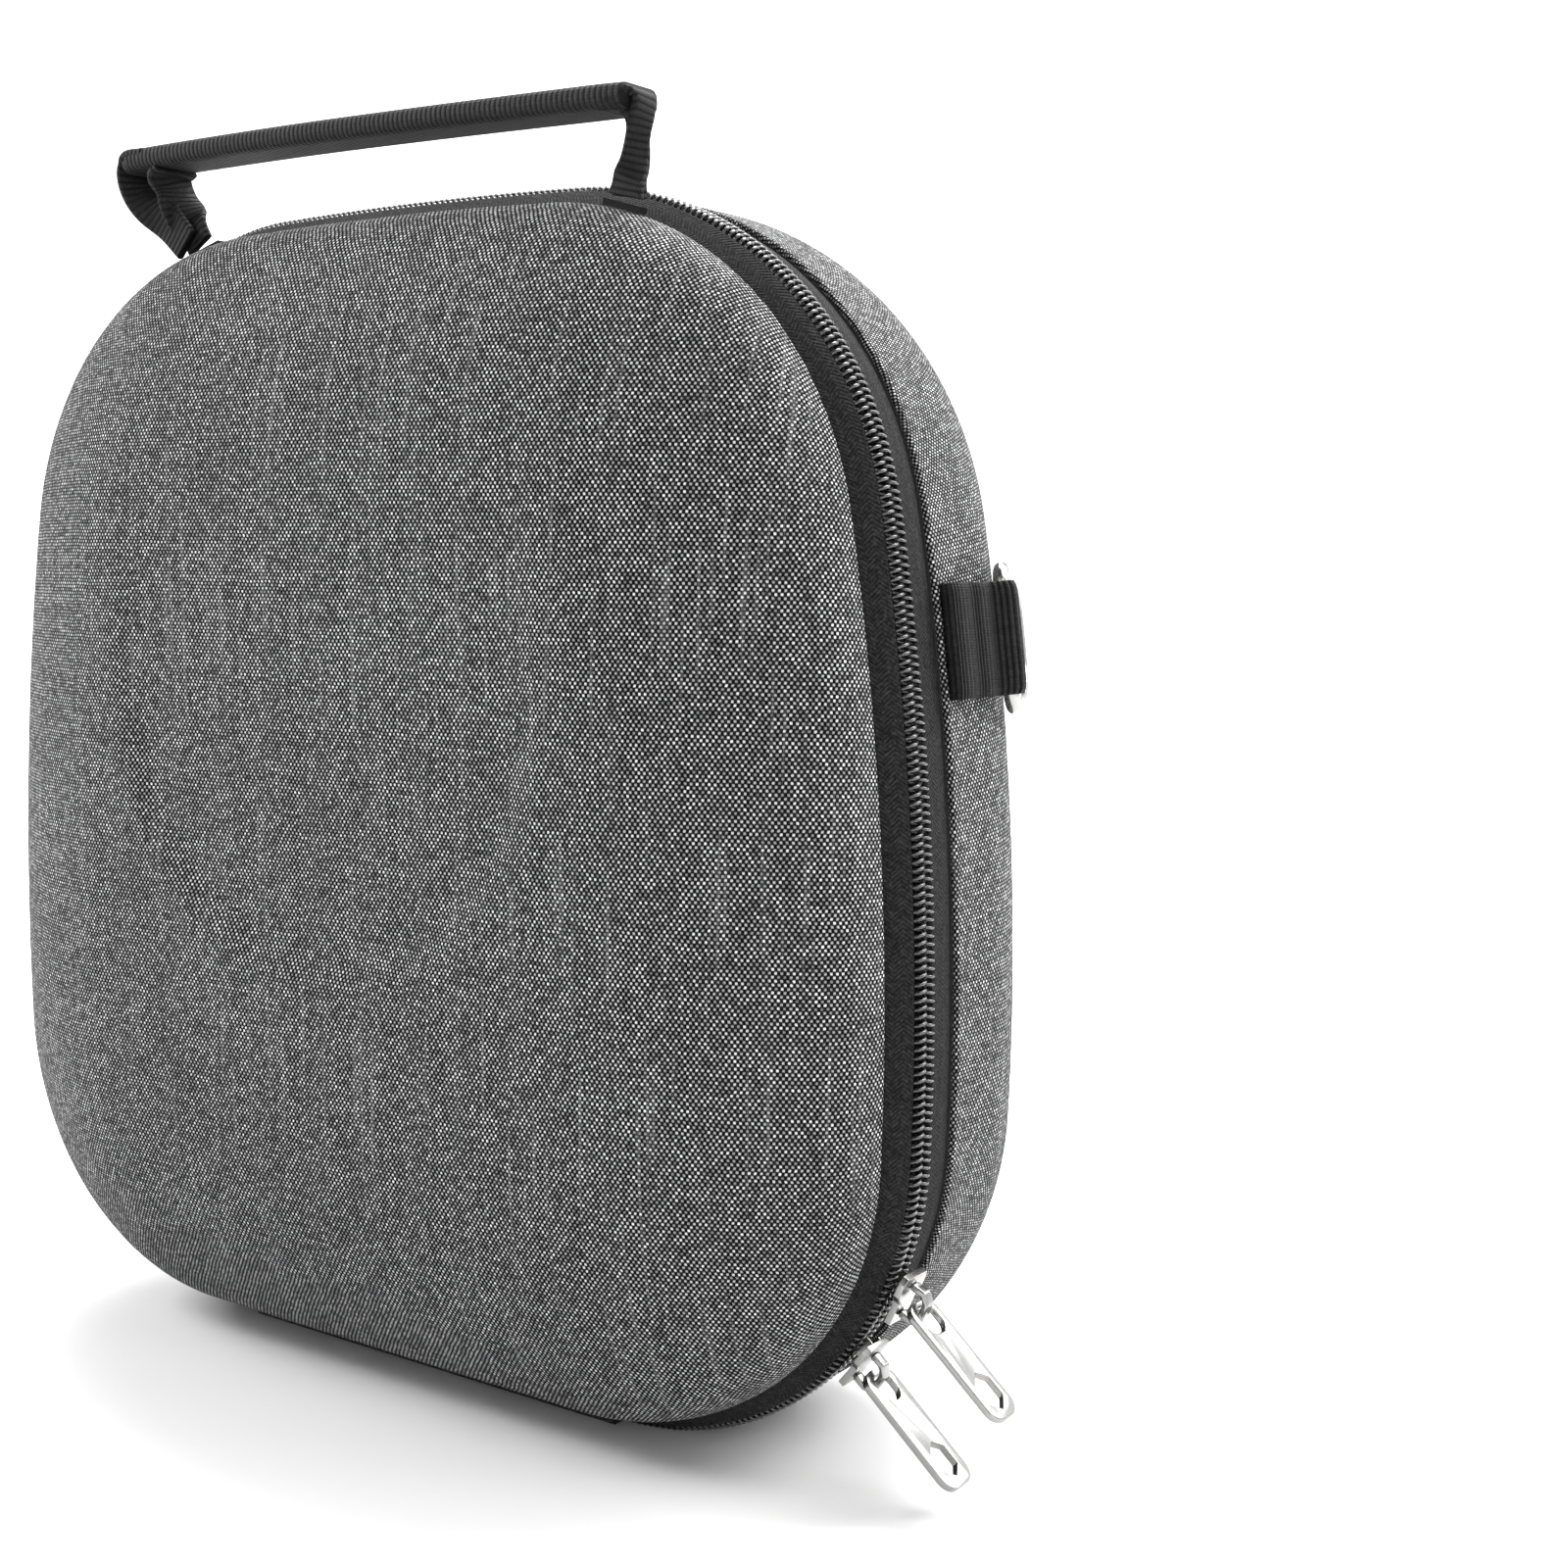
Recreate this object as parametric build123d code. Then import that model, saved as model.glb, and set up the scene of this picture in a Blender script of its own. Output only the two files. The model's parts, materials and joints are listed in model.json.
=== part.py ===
from build123d import *
import math
import os

# Headphone carrying case: two moulded halves closed by a two-way zipper, fabric hinge below,
# webbing handle above, D-ring on the side and an elastic retaining strap inside.
# X runs to the right, Y to the back and Z up. The zipper plane is y = 0 and the case stands on z = 0.

# ---- case outline, measured over the zipper's ridge ----
case_height = 240.0
case_width = 236.0
bottom_corner_r = 66.0
bottom_corner_turn = 88.0
side_turn = 12.0
top_corner_r = 73.0
top_corner_turn = 78.0

# ---- shell halves ----
front_depth = 35.0
back_depth = 60.0
front_seam_inset = 4.0
back_seam_inset = 0.4
front_wall = 1.2
back_wall = 13.0
front_corner_r = 15.0
back_corner_r = 32.0
front_field_r = 8.0
back_field_r = 14.0
cover_thickness = 1.0
core_thickness = 3.8
lining_thickness = 1.3
glue_line = 0.2
recess_depth = 2.6
recess_half_width = 60.0
recess_floor_z = 84.0
recess_slope = 13.0
recess_top_z = 214.0

# ---- zipper ----
front_tape_width = 7.8
back_tape_width = 11.2
tape_thickness = 1.0
coil_width = 2.4
coil_height = 2.3
coil_slit = 0.9
tape_tuck = 1.4
groove_gap = 0.2

# ---- inner rim trim ----
binding_thickness = 1.0
back_binding_end = 21.0
front_binding_turn = 38.0
edging_width = 3.2
edging_thickness = 0.8

# ---- fabric hinge ----
spine_thickness = 1.2
spine_flat_front = 5.2
spine_flat_back = 8.4
spine_end_gap = 0.4

# ---- sliders and pulls ----
upper_slider_angle = -24.0
lower_slider_angle = -38.0
slider_length = 10.4
slider_nose_half = 3.9
slider_tail_half = 2.7
slider_lift = 1.6
slider_plate = 1.3
web_thickness = 0.4
web_length = 4.4
inner_plate_gap = 0.9
inner_plate = 0.8
inner_plate_half = 2.3
crown_length = 7.4
crown_rise = 4.6
crown_bar = 1.3
crown_width = 2.2
pull_length = 25.0
pull_width = 8.4
pull_thickness = 1.5
pull_end_bar = 1.3
pull_direction = -41.0

# ---- side loop and D-ring ----
loop_z = 155.5
loop_width = 21.0
loop_layer = 1.3
loop_start_gap = 0.4
ring_y = 29.0
ring_wire = 3.0
ring_depth = 17.0
ring_play = 0.3
ring_tilt = 21.0

# ---- handle ----
handle_half = 67.0
handle_head = 6.0
handle_foot_half = 57.0
handle_rise = 11.0
handle_pivot_inset = 1.2
handle_y = -8.9
handle_width = 13.0
handle_leg_thickness = 4.0
handle_foot_thickness = 2.0
handle_end_length = 9.0
handle_end_gap = 0.5
handle_grip_thickness = 5.0

# ---- elastic strap inside the back half ----
strap_z = 128.0
strap_width = 27.0
strap_thickness = 1.5
strap_y = 19.5
strap_overlap = 22.0
strap_left_length = 47.0
strap_gap = 0.6
strap_anchor = 8.0
strap_end_gap = 0.3
strap_hinge_gap = 1.6
patch_thickness = 0.8
patch_inset = 1.5

FRONT, BACK = -1.0, 1.0

os.makedirs("parts", exist_ok=True)


def sin(a):
    return math.sin(math.radians(a))


def cos(a):
    return math.cos(math.radians(a))


# ---------------------------------------------------------------- outline
def outline_arcs():
    """Arcs of the ridge from the right end of the straight bottom, round to its left end."""
    a = bottom_corner_turn
    b = a + side_turn
    c = b + top_corner_turn
    half = case_width / 2
    k = (1 + cos(c)) / sin(c)
    crown_in = top_corner_r * (sin(b) - sin(c))
    rise = case_height - bottom_corner_r * (1 - cos(a)) - top_corner_r * (cos(b) - cos(c))
    side_r = (rise - k * (half - crown_in)) / (cos(a) - cos(b) - k * (1 - sin(b)))
    straight = half - bottom_corner_r * sin(a) - side_r * (1 - sin(a))
    top_r = (half - side_r * (1 - sin(b)) - crown_in) / sin(c)
    turns = [(bottom_corner_r, a), (side_r, side_turn), (top_corner_r, top_corner_turn)]
    arcs = []
    x, z, angle = straight, 0.0, -90.0
    for radius, turn in turns + [(top_r, 2 * (180 - c))] + turns[::-1]:
        cx = x - radius * cos(angle)
        cz = z - radius * sin(angle)
        arcs.append((cx, cz, radius, angle, turn))
        angle += turn
        x = cx + radius * cos(angle)
        z = cz + radius * sin(angle)
    return straight, arcs


straight_half, ARCS = outline_arcs()


def ridge_point(arc, angle, inset=0.0):
    cx, cz, radius = arc[:3]
    return cx + (radius - inset) * cos(angle), cz + (radius - inset) * sin(angle)


def side_x(z, inset):
    """Half width of the case at a height on its side arc, at an inset from the ridge."""
    cx, cz, radius = ARCS[1][:3]
    return cx + math.sqrt((radius - inset) ** 2 - (z - cz) ** 2)


def section_plane(x, z, angle):
    """Plane across the outline: local x points outward, local y is Y."""
    return Plane(origin=(x, 0, z), x_dir=(cos(angle), 0, sin(angle)), z_dir=(-sin(angle), 0, cos(angle)))


def facing_up(face):
    return face if face.normal_at().Z > 0 else -face


def closed_face(edges):
    return facing_up(make_face(Curve() + edges).faces()[0])


def polygon(points):
    """Face in section coordinates from (inset, y) points."""
    pts = [(-o, y) for o, y in points]
    return facing_up(make_face(Polyline(*pts, close=True)).faces()[0])


def fuse_all(solids):
    return Part() + solids[0].fuse(*solids[1:])


def ring(face, closed=True):
    """Carry a section face round the outline; an open ring leaves out the straight bottom."""
    runs = []
    for cx, cz, radius, angle, turn in ARCS:
        x, z = cx + radius * cos(angle), cz + radius * sin(angle)
        section = section_plane(x, z, angle) * face
        axis = Axis((cx, 0, cz), (0, -1, 0))
        runs.append(revolve(section, axis, revolution_arc=turn))
    if closed:
        section = section_plane(-straight_half, 0, -90) * face
        runs.append(extrude(section, 2 * straight_half))
    return fuse_all(runs)


def plate(inset, y0, y1):
    """Slab between two Y values with the outline brought in by the inset."""
    edges = [Line((-straight_half, inset), (straight_half, inset))]
    for arc in ARCS:
        angle, turn = arc[3], arc[4]
        start = ridge_point(arc, angle, inset)
        middle = ridge_point(arc, angle + turn / 2, inset)
        end = ridge_point(arc, angle + turn, inset)
        edges.append(ThreePointArc(start, middle, end))
    flat = Plane(origin=(0, min(y0, y1), 0), x_dir=(1, 0, 0), z_dir=(0, -1, 0)) * closed_face(edges)
    return extrude(flat, abs(y1 - y0), dir=(0, 1, 0))


# ---------------------------------------------------------------- shell sections
class Half:
    """Outer section of one half: wall, corner arc, crowned arc, flat field."""

    def __init__(self, side, depth, inset, rim, wall, corner_r, field_r):
        self.side = side
        self.depth = depth
        self.inset = inset
        self.rim = rim
        self.wall = wall
        self.corner_r = corner_r
        self.field = min(bottom_corner_r, top_corner_r) - field_r
        width = self.field - inset
        rise = depth - self.rim - wall
        self.crown_r = (width ** 2 + rise ** 2 - 2 * width * corner_r) / (2 * (rise - corner_r))
        turn = math.acos((width - corner_r) / (self.crown_r - corner_r))
        self.turn = math.degrees(turn)

    def corner(self, t, angle):
        r = self.corner_r - t
        return self.inset + self.corner_r - r * cos(angle), self.rim + self.wall + r * sin(angle)

    def crown(self, t, angle):
        r = self.crown_r - t
        return self.field - r * cos(angle), self.depth - self.crown_r + r * sin(angle)

    def at(self, point):
        return -point[0], self.side * point[1]

    def path(self, t, stop=None):
        """Edges at offset t from the rim inward, ending at the field or at a corner angle."""
        end = self.turn if stop is None else stop
        rim = (self.inset + t, self.rim)
        foot = (self.inset + t, self.rim + self.wall)
        edges = [Line(self.at(rim), self.at(foot))]
        arc = [self.corner(t, 0), self.corner(t, end / 2), self.corner(t, end)]
        edges.append(ThreePointArc(*[self.at(p) for p in arc]))
        if stop is None:
            arc = [self.crown(t, end), self.crown(t, (end + 90) / 2), self.crown(t, 90)]
            edges.append(ThreePointArc(*[self.at(p) for p in arc]))
        return edges, rim, arc[-1]

    def layer(self, t1, t2):
        outer, rim1, end1 = self.path(t1)
        inner, rim2, end2 = self.path(t2)
        edges = outer + inner
        edges.append(Line(self.at(end1), self.at(end2)))
        edges.append(Line(self.at(rim1), self.at(rim2)))
        skin = ring(closed_face(edges))
        return skin + plate(self.field, self.side * (self.depth - t1), self.side * (self.depth - t2))

    def filled(self, t):
        outer, rim, end = self.path(t)
        root = (end[0], self.rim)
        edges = outer + [Line(self.at(end), self.at(root)), Line(self.at(root), self.at(rim))]
        body = ring(closed_face(edges))
        return body + plate(self.field, self.side * self.rim, self.side * (self.depth - t))


front = Half(
    FRONT, front_depth, front_seam_inset, front_tape_width, front_wall, front_corner_r, front_field_r
)
back = Half(BACK, back_depth, back_seam_inset, back_tape_width, back_wall, back_corner_r, back_field_r)

core_out = cover_thickness + glue_line
core_in = core_out + core_thickness
lining_out = core_in + glue_line
lining_in = lining_out + lining_thickness
NODES = {}


def keep(name, shape):
    shape.label = name
    NODES[name] = shape


# ---------------------------------------------------------------- front and back shells
def arch_outline(shrink):
    """Tall arch, round end down, that bounds the pressed panel of the front face."""
    half = recess_half_width - shrink
    mid = recess_floor_z + recess_half_width
    low = (0, mid - half)
    edges = [ThreePointArc((-half, mid), low, (half, mid))]
    top = recess_top_z - shrink
    edges += [Line((half, mid), (half, top)), Line((half, top), (-half, top)), Line((-half, top), (-half, mid))]
    return closed_face(edges)


def recess_tool(t):
    """Dished cutter for the panel; it shallows towards the top so that the panel fades out."""
    y = -(front_depth - t)
    wide = Plane(origin=(0, y - 6, 0), x_dir=(1, 0, 0), z_dir=(0, -1, 0)) * arch_outline(0)
    mouth = Plane(origin=(0, y, 0), x_dir=(1, 0, 0), z_dir=(0, -1, 0)) * arch_outline(0)
    floor = Plane(origin=(0, y + recess_depth, 0), x_dir=(1, 0, 0), z_dir=(0, -1, 0)) * arch_outline(recess_slope)
    tool = loft([mouth, floor]) + extrude(wide, 6, dir=(0, 1, 0))
    lean = math.degrees(math.atan(recess_depth / (recess_top_z - recess_floor_z - recess_slope)))
    pivot = Axis((0, y + recess_depth, recess_floor_z + recess_slope), (1, 0, 0))
    return tool.rotate(pivot, lean)


def pressed(t):
    return front.filled(t) - recess_tool(t)


keep("front_cover", pressed(0) - pressed(cover_thickness))
keep("front_shell", pressed(core_out) - front.filled(core_in))
keep("front_lining", front.layer(lining_out, lining_in))
keep("back_cover", back.layer(0, cover_thickness))
keep("back_shell", back.layer(core_out, core_in))
keep("back_lining", back.layer(lining_out, lining_in))


# ---------------------------------------------------------------- zipper, binding, edging
def tape_line(half, y):
    """Inset of the tape's outer face at a distance y from the zipper plane."""
    ridge = coil_slit / 2 + coil_width
    start = coil_height * 0.4
    end = half.inset + tape_tuck
    return start + (end - start) * (y - ridge) / (half.rim - ridge)


def tape(half):
    ridge = coil_slit / 2 + coil_width + 0.05
    end = half.rim - groove_gap
    pts = [(tape_line(half, ridge), ridge), (tape_line(half, end), end)]
    pts += [(o + tape_thickness * 1.2, y) for o, y in pts[::-1]]
    return ring(polygon([(o, half.side * y) for o, y in pts]), closed=False)


def coil(half):
    y0 = coil_slit / 2
    y1 = y0 + coil_width
    cut = 0.7
    pts = [(cut, y0), (0, y0 + cut), (0, y1 - cut), (cut, y1)]
    pts += [(coil_height - cut, y1), (coil_height, y1 - cut), (coil_height, y0 + cut), (coil_height - cut, y0)]
    return ring(polygon([(o, half.side * y) for o, y in pts]), closed=False)


def binding(half):
    """Woven band that lies behind the tape, turns over the rim and runs into the half."""
    t1 = lining_in + glue_line
    t2 = t1 + binding_thickness
    lip = coil_slit / 2 + coil_width + 0.8
    lip_o = tape_line(half, lip) + tape_thickness * 1.2 + 0.7
    knee = half.rim - 0.4
    turn = front_binding_turn if half is front else None
    lines = []
    for t, step in ((t1, 0.0), (t2, binding_thickness)):
        lines.append([(lip_o + step * 1.3, lip + step * 0.1), (half.inset + t, knee)])
    if turn is None:
        for t, line in zip((t1, t2), lines):
            line.append((half.inset + t, back_binding_end))
        return ring(polygon([(o, half.side * y) for o, y in lines[0] + lines[1][::-1]]))
    arcs = []
    for t, line in zip((t1, t2), lines):
        line.append((half.inset + t, half.rim + half.wall))
        arcs.append([half.corner(t, 0), half.corner(t, turn / 2), half.corner(t, turn)])
    edges = [Line(half.at(a), half.at(b)) for a, b in zip(lines[0], lines[0][1:])]
    edges.append(ThreePointArc(*[half.at(p) for p in arcs[0]]))
    edges.append(Line(half.at(arcs[0][2]), half.at(arcs[1][2])))
    edges.append(ThreePointArc(*[half.at(p) for p in arcs[1][::-1]]))
    back_way = lines[1][::-1]
    edges += [Line(half.at(a), half.at(b)) for a, b in zip(back_way, back_way[1:])]
    edges.append(Line(half.at(lines[1][0]), half.at(lines[0][0])))
    return ring(closed_face(edges))


def edging(half):
    """Ribbed strip that finishes the inner edge of the binding, over the lining."""
    t1 = lining_in + glue_line
    t2 = t1 + edging_thickness
    if half is back:
        y0 = back_binding_end + glue_line
        foot = half.rim + half.wall
        y1 = min(y0 + edging_width, foot)
        pts = [(half.inset + t1, y0), (half.inset + t1, y1), (half.inset + t2, y1), (half.inset + t2, y0)]
        if y1 - y0 > 1.0:
            return ring(polygon([(o, half.side * y) for o, y in pts]))
        a0 = math.degrees((y0 - foot) / (half.corner_r - t1))
    else:
        a0 = front_binding_turn + math.degrees(glue_line / (half.corner_r - t1))
    a1 = a0 + math.degrees(edging_width / (half.corner_r - t1))
    mid = (a0 + a1) / 2
    edges = []
    for t in (t1, t2):
        arc = [half.corner(t, a0), half.corner(t, mid), half.corner(t, a1)]
        edges.append(ThreePointArc(*[half.at(p) for p in arc]))
    for angle in (a0, a1):
        edges.append(Line(half.at(half.corner(t1, angle)), half.at(half.corner(t2, angle))))
    return ring(closed_face(edges))


for name, half in (("front", front), ("back", back)):
    keep(name + "_zip_tape", tape(half))
    keep(name + "_zip_coil", coil(half))
    keep(name + "_binding", binding(half))
    keep(name + "_edging", edging(half))

# ---------------------------------------------------------------- fabric hinge
rim_f = front.inset + tape_tuck
rim_b = back.inset + tape_tuck
edge_f = front.rim - groove_gap
edge_b = back.rim - groove_gap
outer = [(rim_f, -edge_f), (0, -spine_flat_front), (0, spine_flat_back), (rim_b, edge_b)]
inner = [(o + spine_thickness, y) for o, y in outer]
spine_face = section_plane(-straight_half + spine_end_gap, 0, -90) * polygon(outer + inner[::-1])
keep("hinge_spine", extrude(spine_face, 2 * (straight_half - spine_end_gap)))

# ---------------------------------------------------------------- sliders
corner_x, corner_z = ARCS[0][0], ARCS[0][1]


def slider_frame(angle):
    """Frame on the ridge: local x outward, local y is Y, local z along the zipper."""
    x, z = ridge_point(ARCS[0], angle)
    return section_plane(x, z, angle)


def block(x0, x1, y0, y1, z0, z1):
    size = (x1 - x0, y1 - y0, z1 - z0)
    return Pos((x0 + x1) / 2, (y0 + y1) / 2, (z0 + z1) / 2) * Box(*size)


top_of_plate = slider_lift + slider_plate
pivot_rise = top_of_plate + crown_rise - crown_bar - pull_thickness / 2 - 0.35


def slider_body():
    """Outer plate with a broad nose, a thin web between the coils and a small inner plate."""
    nose = slider_length / 2
    waist = slider_length * 0.12
    half_plan = [(nose, slider_nose_half * 0.8), (nose - 1.2, slider_nose_half)]
    half_plan += [(waist, slider_nose_half), (waist - 1.6, slider_tail_half), (-nose, slider_tail_half)]
    plan = half_plan + [(z, -y) for z, y in half_plan[::-1]]
    face = Plane(origin=(slider_lift, 0, 0), x_dir=(0, 0, 1), z_dir=(1, 0, 0)) * make_face(
        Polyline(*[(z, -y) for z, y in plan], close=True)
    )
    top = extrude(face, slider_plate)
    low = -(coil_height + inner_plate_gap)
    web = block(low - 0.2, slider_lift + 0.2, -web_thickness / 2, web_thickness / 2, 0.0, web_length)
    inner_half = web_length + 1.2
    foot = block(low - inner_plate, low, -inner_plate_half, inner_plate_half, -1.2, inner_half - 0.4)
    lip = slider_nose_half - 0.7
    flange = block(slider_lift - 0.9, slider_lift + 0.2, lip, slider_nose_half, waist + 0.2, nose - 1.4)
    return top + web + foot + flange


def slider_crown():
    """Bail that stands on the plate along the zipper and holds the pull."""
    half = crown_length / 2
    base = top_of_plate + 0.01
    rise = crown_rise
    pts = [(base, -half), (base + rise * 0.62, -half), (base + rise, -half + 1.7)]
    pts += [(base + rise, half - 1.7), (base + rise * 0.62, half), (base, half)]
    inn = half - crown_bar
    pts += [(base, inn), (base + rise * 0.55, inn), (base + rise - crown_bar, inn - 1.1)]
    pts += [(base + rise - crown_bar, -inn + 1.1), (base + rise * 0.55, -inn), (base, -inn)]
    face = Plane(origin=(0, crown_width / 2, 0), x_dir=(1, 0, 0), z_dir=(0, -1, 0)) * make_face(
        Polyline(*pts, close=True)
    )
    return extrude(face, crown_width)


def pull_tab():
    """Flat pull in local x (length) and y (width), hung from the bar at the origin."""
    half = pull_width / 2
    bar = pull_end_bar / 2
    plan = RectangleRounded(pull_length + bar, pull_width, half * 0.72)
    plan = Pos((pull_length - bar) / 2, 0) * plan
    eye_w = pull_width - 3.4
    eye_l = 5.6
    eye = Pos(bar + eye_l / 2, 0) * RectangleRounded(eye_l, eye_w, eye_w * 0.42)
    hex_l = pull_length * 0.3
    hex_w = pull_width - 3.6
    x0 = pull_length - 1.9 - hex_l
    hexagon = [(x0, 0), (x0 + 1.9, hex_w / 2), (x0 + hex_l - 1.9, hex_w / 2), (x0 + hex_l, 0)]
    hexagon += [(x, -y) for x, y in hexagon[1:3][::-1]]
    window = make_face(Polyline(*hexagon, close=True))
    tab = extrude(plan - eye - window, pull_thickness / 2, both=True)
    return tab


for name, angle in (("upper", upper_slider_angle), ("lower", lower_slider_angle)):
    frame = slider_frame(angle)
    keep(name + "_slider_body", frame * slider_body())
    keep(name + "_slider_crown", frame * slider_crown())
    px, pz = ridge_point(ARCS[0], angle, -pivot_rise)
    across = (cos(pull_direction), 0, sin(pull_direction))
    normal = (-sin(pull_direction), 0, cos(pull_direction))
    hang = Plane(origin=(px, 0, pz), x_dir=across, z_dir=normal)
    keep(name + "_pull", hang * pull_tab())
    print(name, "slider", [round(v, 3) for v in ridge_point(ARCS[0], angle)], "pull axis", round(px, 3), round(pz, 3))

# ---------------------------------------------------------------- side loop and D-ring
side = ARCS[1]
loop_angle = math.degrees(math.asin((loop_z - side[1]) / (side[2] - back.inset)))
wall_x, wall_z = ridge_point(side, loop_angle, back.inset - 0.3)
at_wall = section_plane(wall_x, wall_z, loop_angle)
bore_r = ring_wire / 2 + ring_play
fold_r = bore_r + loop_layer
bar_out = fold_r
loop_start = back.rim + loop_start_gap
strip = [(0, loop_start), (0, ring_y), (bar_out, ring_y), (2 * loop_layer, ring_y - 1.6 * fold_r)]
strip += [(2 * loop_layer, loop_start)]
loop_face = make_face(Polyline(*strip, close=True)) + Pos(bar_out, ring_y) * Circle(fold_r)
loop_face -= Pos(bar_out, ring_y) * Circle(bore_r)
loop_solid = extrude(loop_face, loop_width / 2, both=True)
keep("d_ring_loop", at_wall * loop_solid)

ring_half = loop_width / 2 + ring_play + 0.5 + ring_wire / 2
ring_plan = Pos(0, ring_depth / 2) * Rectangle(2 * ring_half, ring_depth)
far = ring_plan.vertices().sort_by(Axis.Y)[-2:]
near = ring_plan.vertices().sort_by(Axis.Y)[:2]
ring_plan = fillet(far, ring_depth * 0.6)
near = ring_plan.vertices().sort_by(Axis.Y)[:2]
ring_plan = fillet(near, ring_wire)
ring_path = ring_plan.faces()[0].outer_wire()
start = ring_path @ 0
heading = ring_path % 0
ring_solid = sweep(Plane(origin=start, z_dir=heading) * Circle(ring_wire / 2), path=ring_path)
swing = (-sin(ring_tilt), cos(ring_tilt), 0)
ring_frame = Plane(origin=(bar_out, ring_y, 0), x_dir=(0, 0, 1), z_dir=(-cos(ring_tilt), -sin(ring_tilt), 0))
keep("d_ring", at_wall * (ring_frame * ring_solid))
axis_x = wall_x + bar_out * cos(loop_angle)
axis_z = wall_z + bar_out * sin(loop_angle)
print("d-ring axis point", round(axis_x, 3), ring_y, round(axis_z, 3), "tilt", round(loop_angle, 4))

# ---------------------------------------------------------------- handle
top_arc = ARCS[2]
foot_reach = top_arc[2] - handle_pivot_inset
foot_angle = math.degrees(math.acos((handle_foot_half - top_arc[0]) / foot_reach))
foot_z = top_arc[1] + foot_reach * sin(foot_angle)
handle_grip_z = case_height + handle_rise
leg_z = handle_grip_z - handle_grip_thickness / 2 + 0.5


def handle_leg(side):
    """Webbing leg that widens from the seam up to the grip."""
    foot = Plane(origin=(side * handle_foot_half, handle_y, foot_z), z_dir=(0, 0, 1))
    head = Plane(origin=(side * (handle_half - handle_head / 2), handle_y, leg_z), z_dir=(0, 0, 1))
    low = foot * Rectangle(handle_leg_thickness, handle_foot_thickness)
    high = head * Rectangle(handle_head, handle_width)
    return loft([low, high])


def handle_end(side):
    """End of the webbing, sewn to the rim of the front half under the leg."""
    x, z = ridge_point(top_arc, foot_angle)
    top = -(handle_pivot_inset + handle_foot_thickness / 2 + handle_end_gap)
    low = -(front.inset - 0.1)
    half = handle_end_length / 2
    y0 = handle_y - handle_foot_thickness / 2
    tab = section_plane(x, z, foot_angle) * block(low, top, y0, y0 + handle_foot_thickness, -half, half)
    return tab if side > 0 else mirror(tab, about=Plane.YZ)


grip = Pos(0, handle_y, handle_grip_z) * Box(2 * handle_half, handle_width, handle_grip_thickness)
grip = fillet(grip.edges().filter_by(Axis.X), handle_grip_thickness * 0.4)
keep("handle", grip + handle_leg(1) + handle_leg(-1))
keep("handle_end_right", handle_end(1))
keep("handle_end_left", handle_end(-1))
print("handle foot", handle_foot_half, handle_y, round(foot_z, 3))

# ---------------------------------------------------------------- elastic strap
strap_top = strap_z + strap_width / 2
strap_end = side_x(strap_top, back.inset + lining_in + glue_line + binding_thickness) - strap_end_gap
anchor_end = strap_end - strap_anchor
z0, z1 = strap_z - strap_width / 2, strap_z + strap_width / 2
y0, y1 = strap_y, strap_y + strap_thickness


def sheet(x0, x1, y_low, y_high, inset=0.0):
    return block(x0, x1, y_low, y_high, z0 + inset, z1 - inset)


hook_y = y0 - patch_thickness - strap_gap - patch_thickness - strap_thickness
left_tip = -anchor_end + strap_left_length
right_tip = left_tip - strap_overlap
left_root = -anchor_end + strap_hinge_gap
keep("strap_anchor_left", sheet(-strap_end, -anchor_end, hook_y, hook_y + strap_thickness))
keep("strap_anchor_right", sheet(anchor_end, strap_end, y0, y1))
keep("strap_left", sheet(left_root, left_tip, hook_y, hook_y + strap_thickness))
keep("strap_right", sheet(right_tip, anchor_end - strap_hinge_gap, y0, y1))
hook_face = hook_y + strap_thickness
patch = (right_tip + patch_inset, left_tip - patch_inset)
keep("hook_patch", sheet(patch[0], patch[1], hook_face, hook_face + patch_thickness, patch_inset))
loop_end = min(left_tip + strap_overlap, anchor_end - strap_hinge_gap - patch_inset)
keep("loop_patch", sheet(patch[0], loop_end, y0 - patch_thickness, y0, patch_inset))
print("strap hinges", round(-anchor_end, 3), round(anchor_end, 3), "left y", round(hook_y, 3), "right y", y0)

print("straight half", round(straight_half, 3), "corner centre", round(corner_x, 3), round(corner_z, 3))
for name, shape in NODES.items():
    export_step(shape, "parts/" + name + ".step")
print(len(NODES), "nodes")
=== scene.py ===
# %% [markdown]
# # Headphone carrying case
#
# A moulded case in two halves, closed by a coil zipper that runs round everything but the straight
# bottom. Almost every visible part follows the same outline, so the script first describes that outline
# once, and then carries a different cross-section along it for each strip: cloth skin, tape, coil,
# binding and edging.
#
# Distances are in metres. X runs to the right, Y to the back and Z up, and the zipper lies in the plane y
# = 0.

import json
import math

import bmesh
import bpy
import numpy as np
from mathutils import Euler, Matrix, Vector


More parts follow.
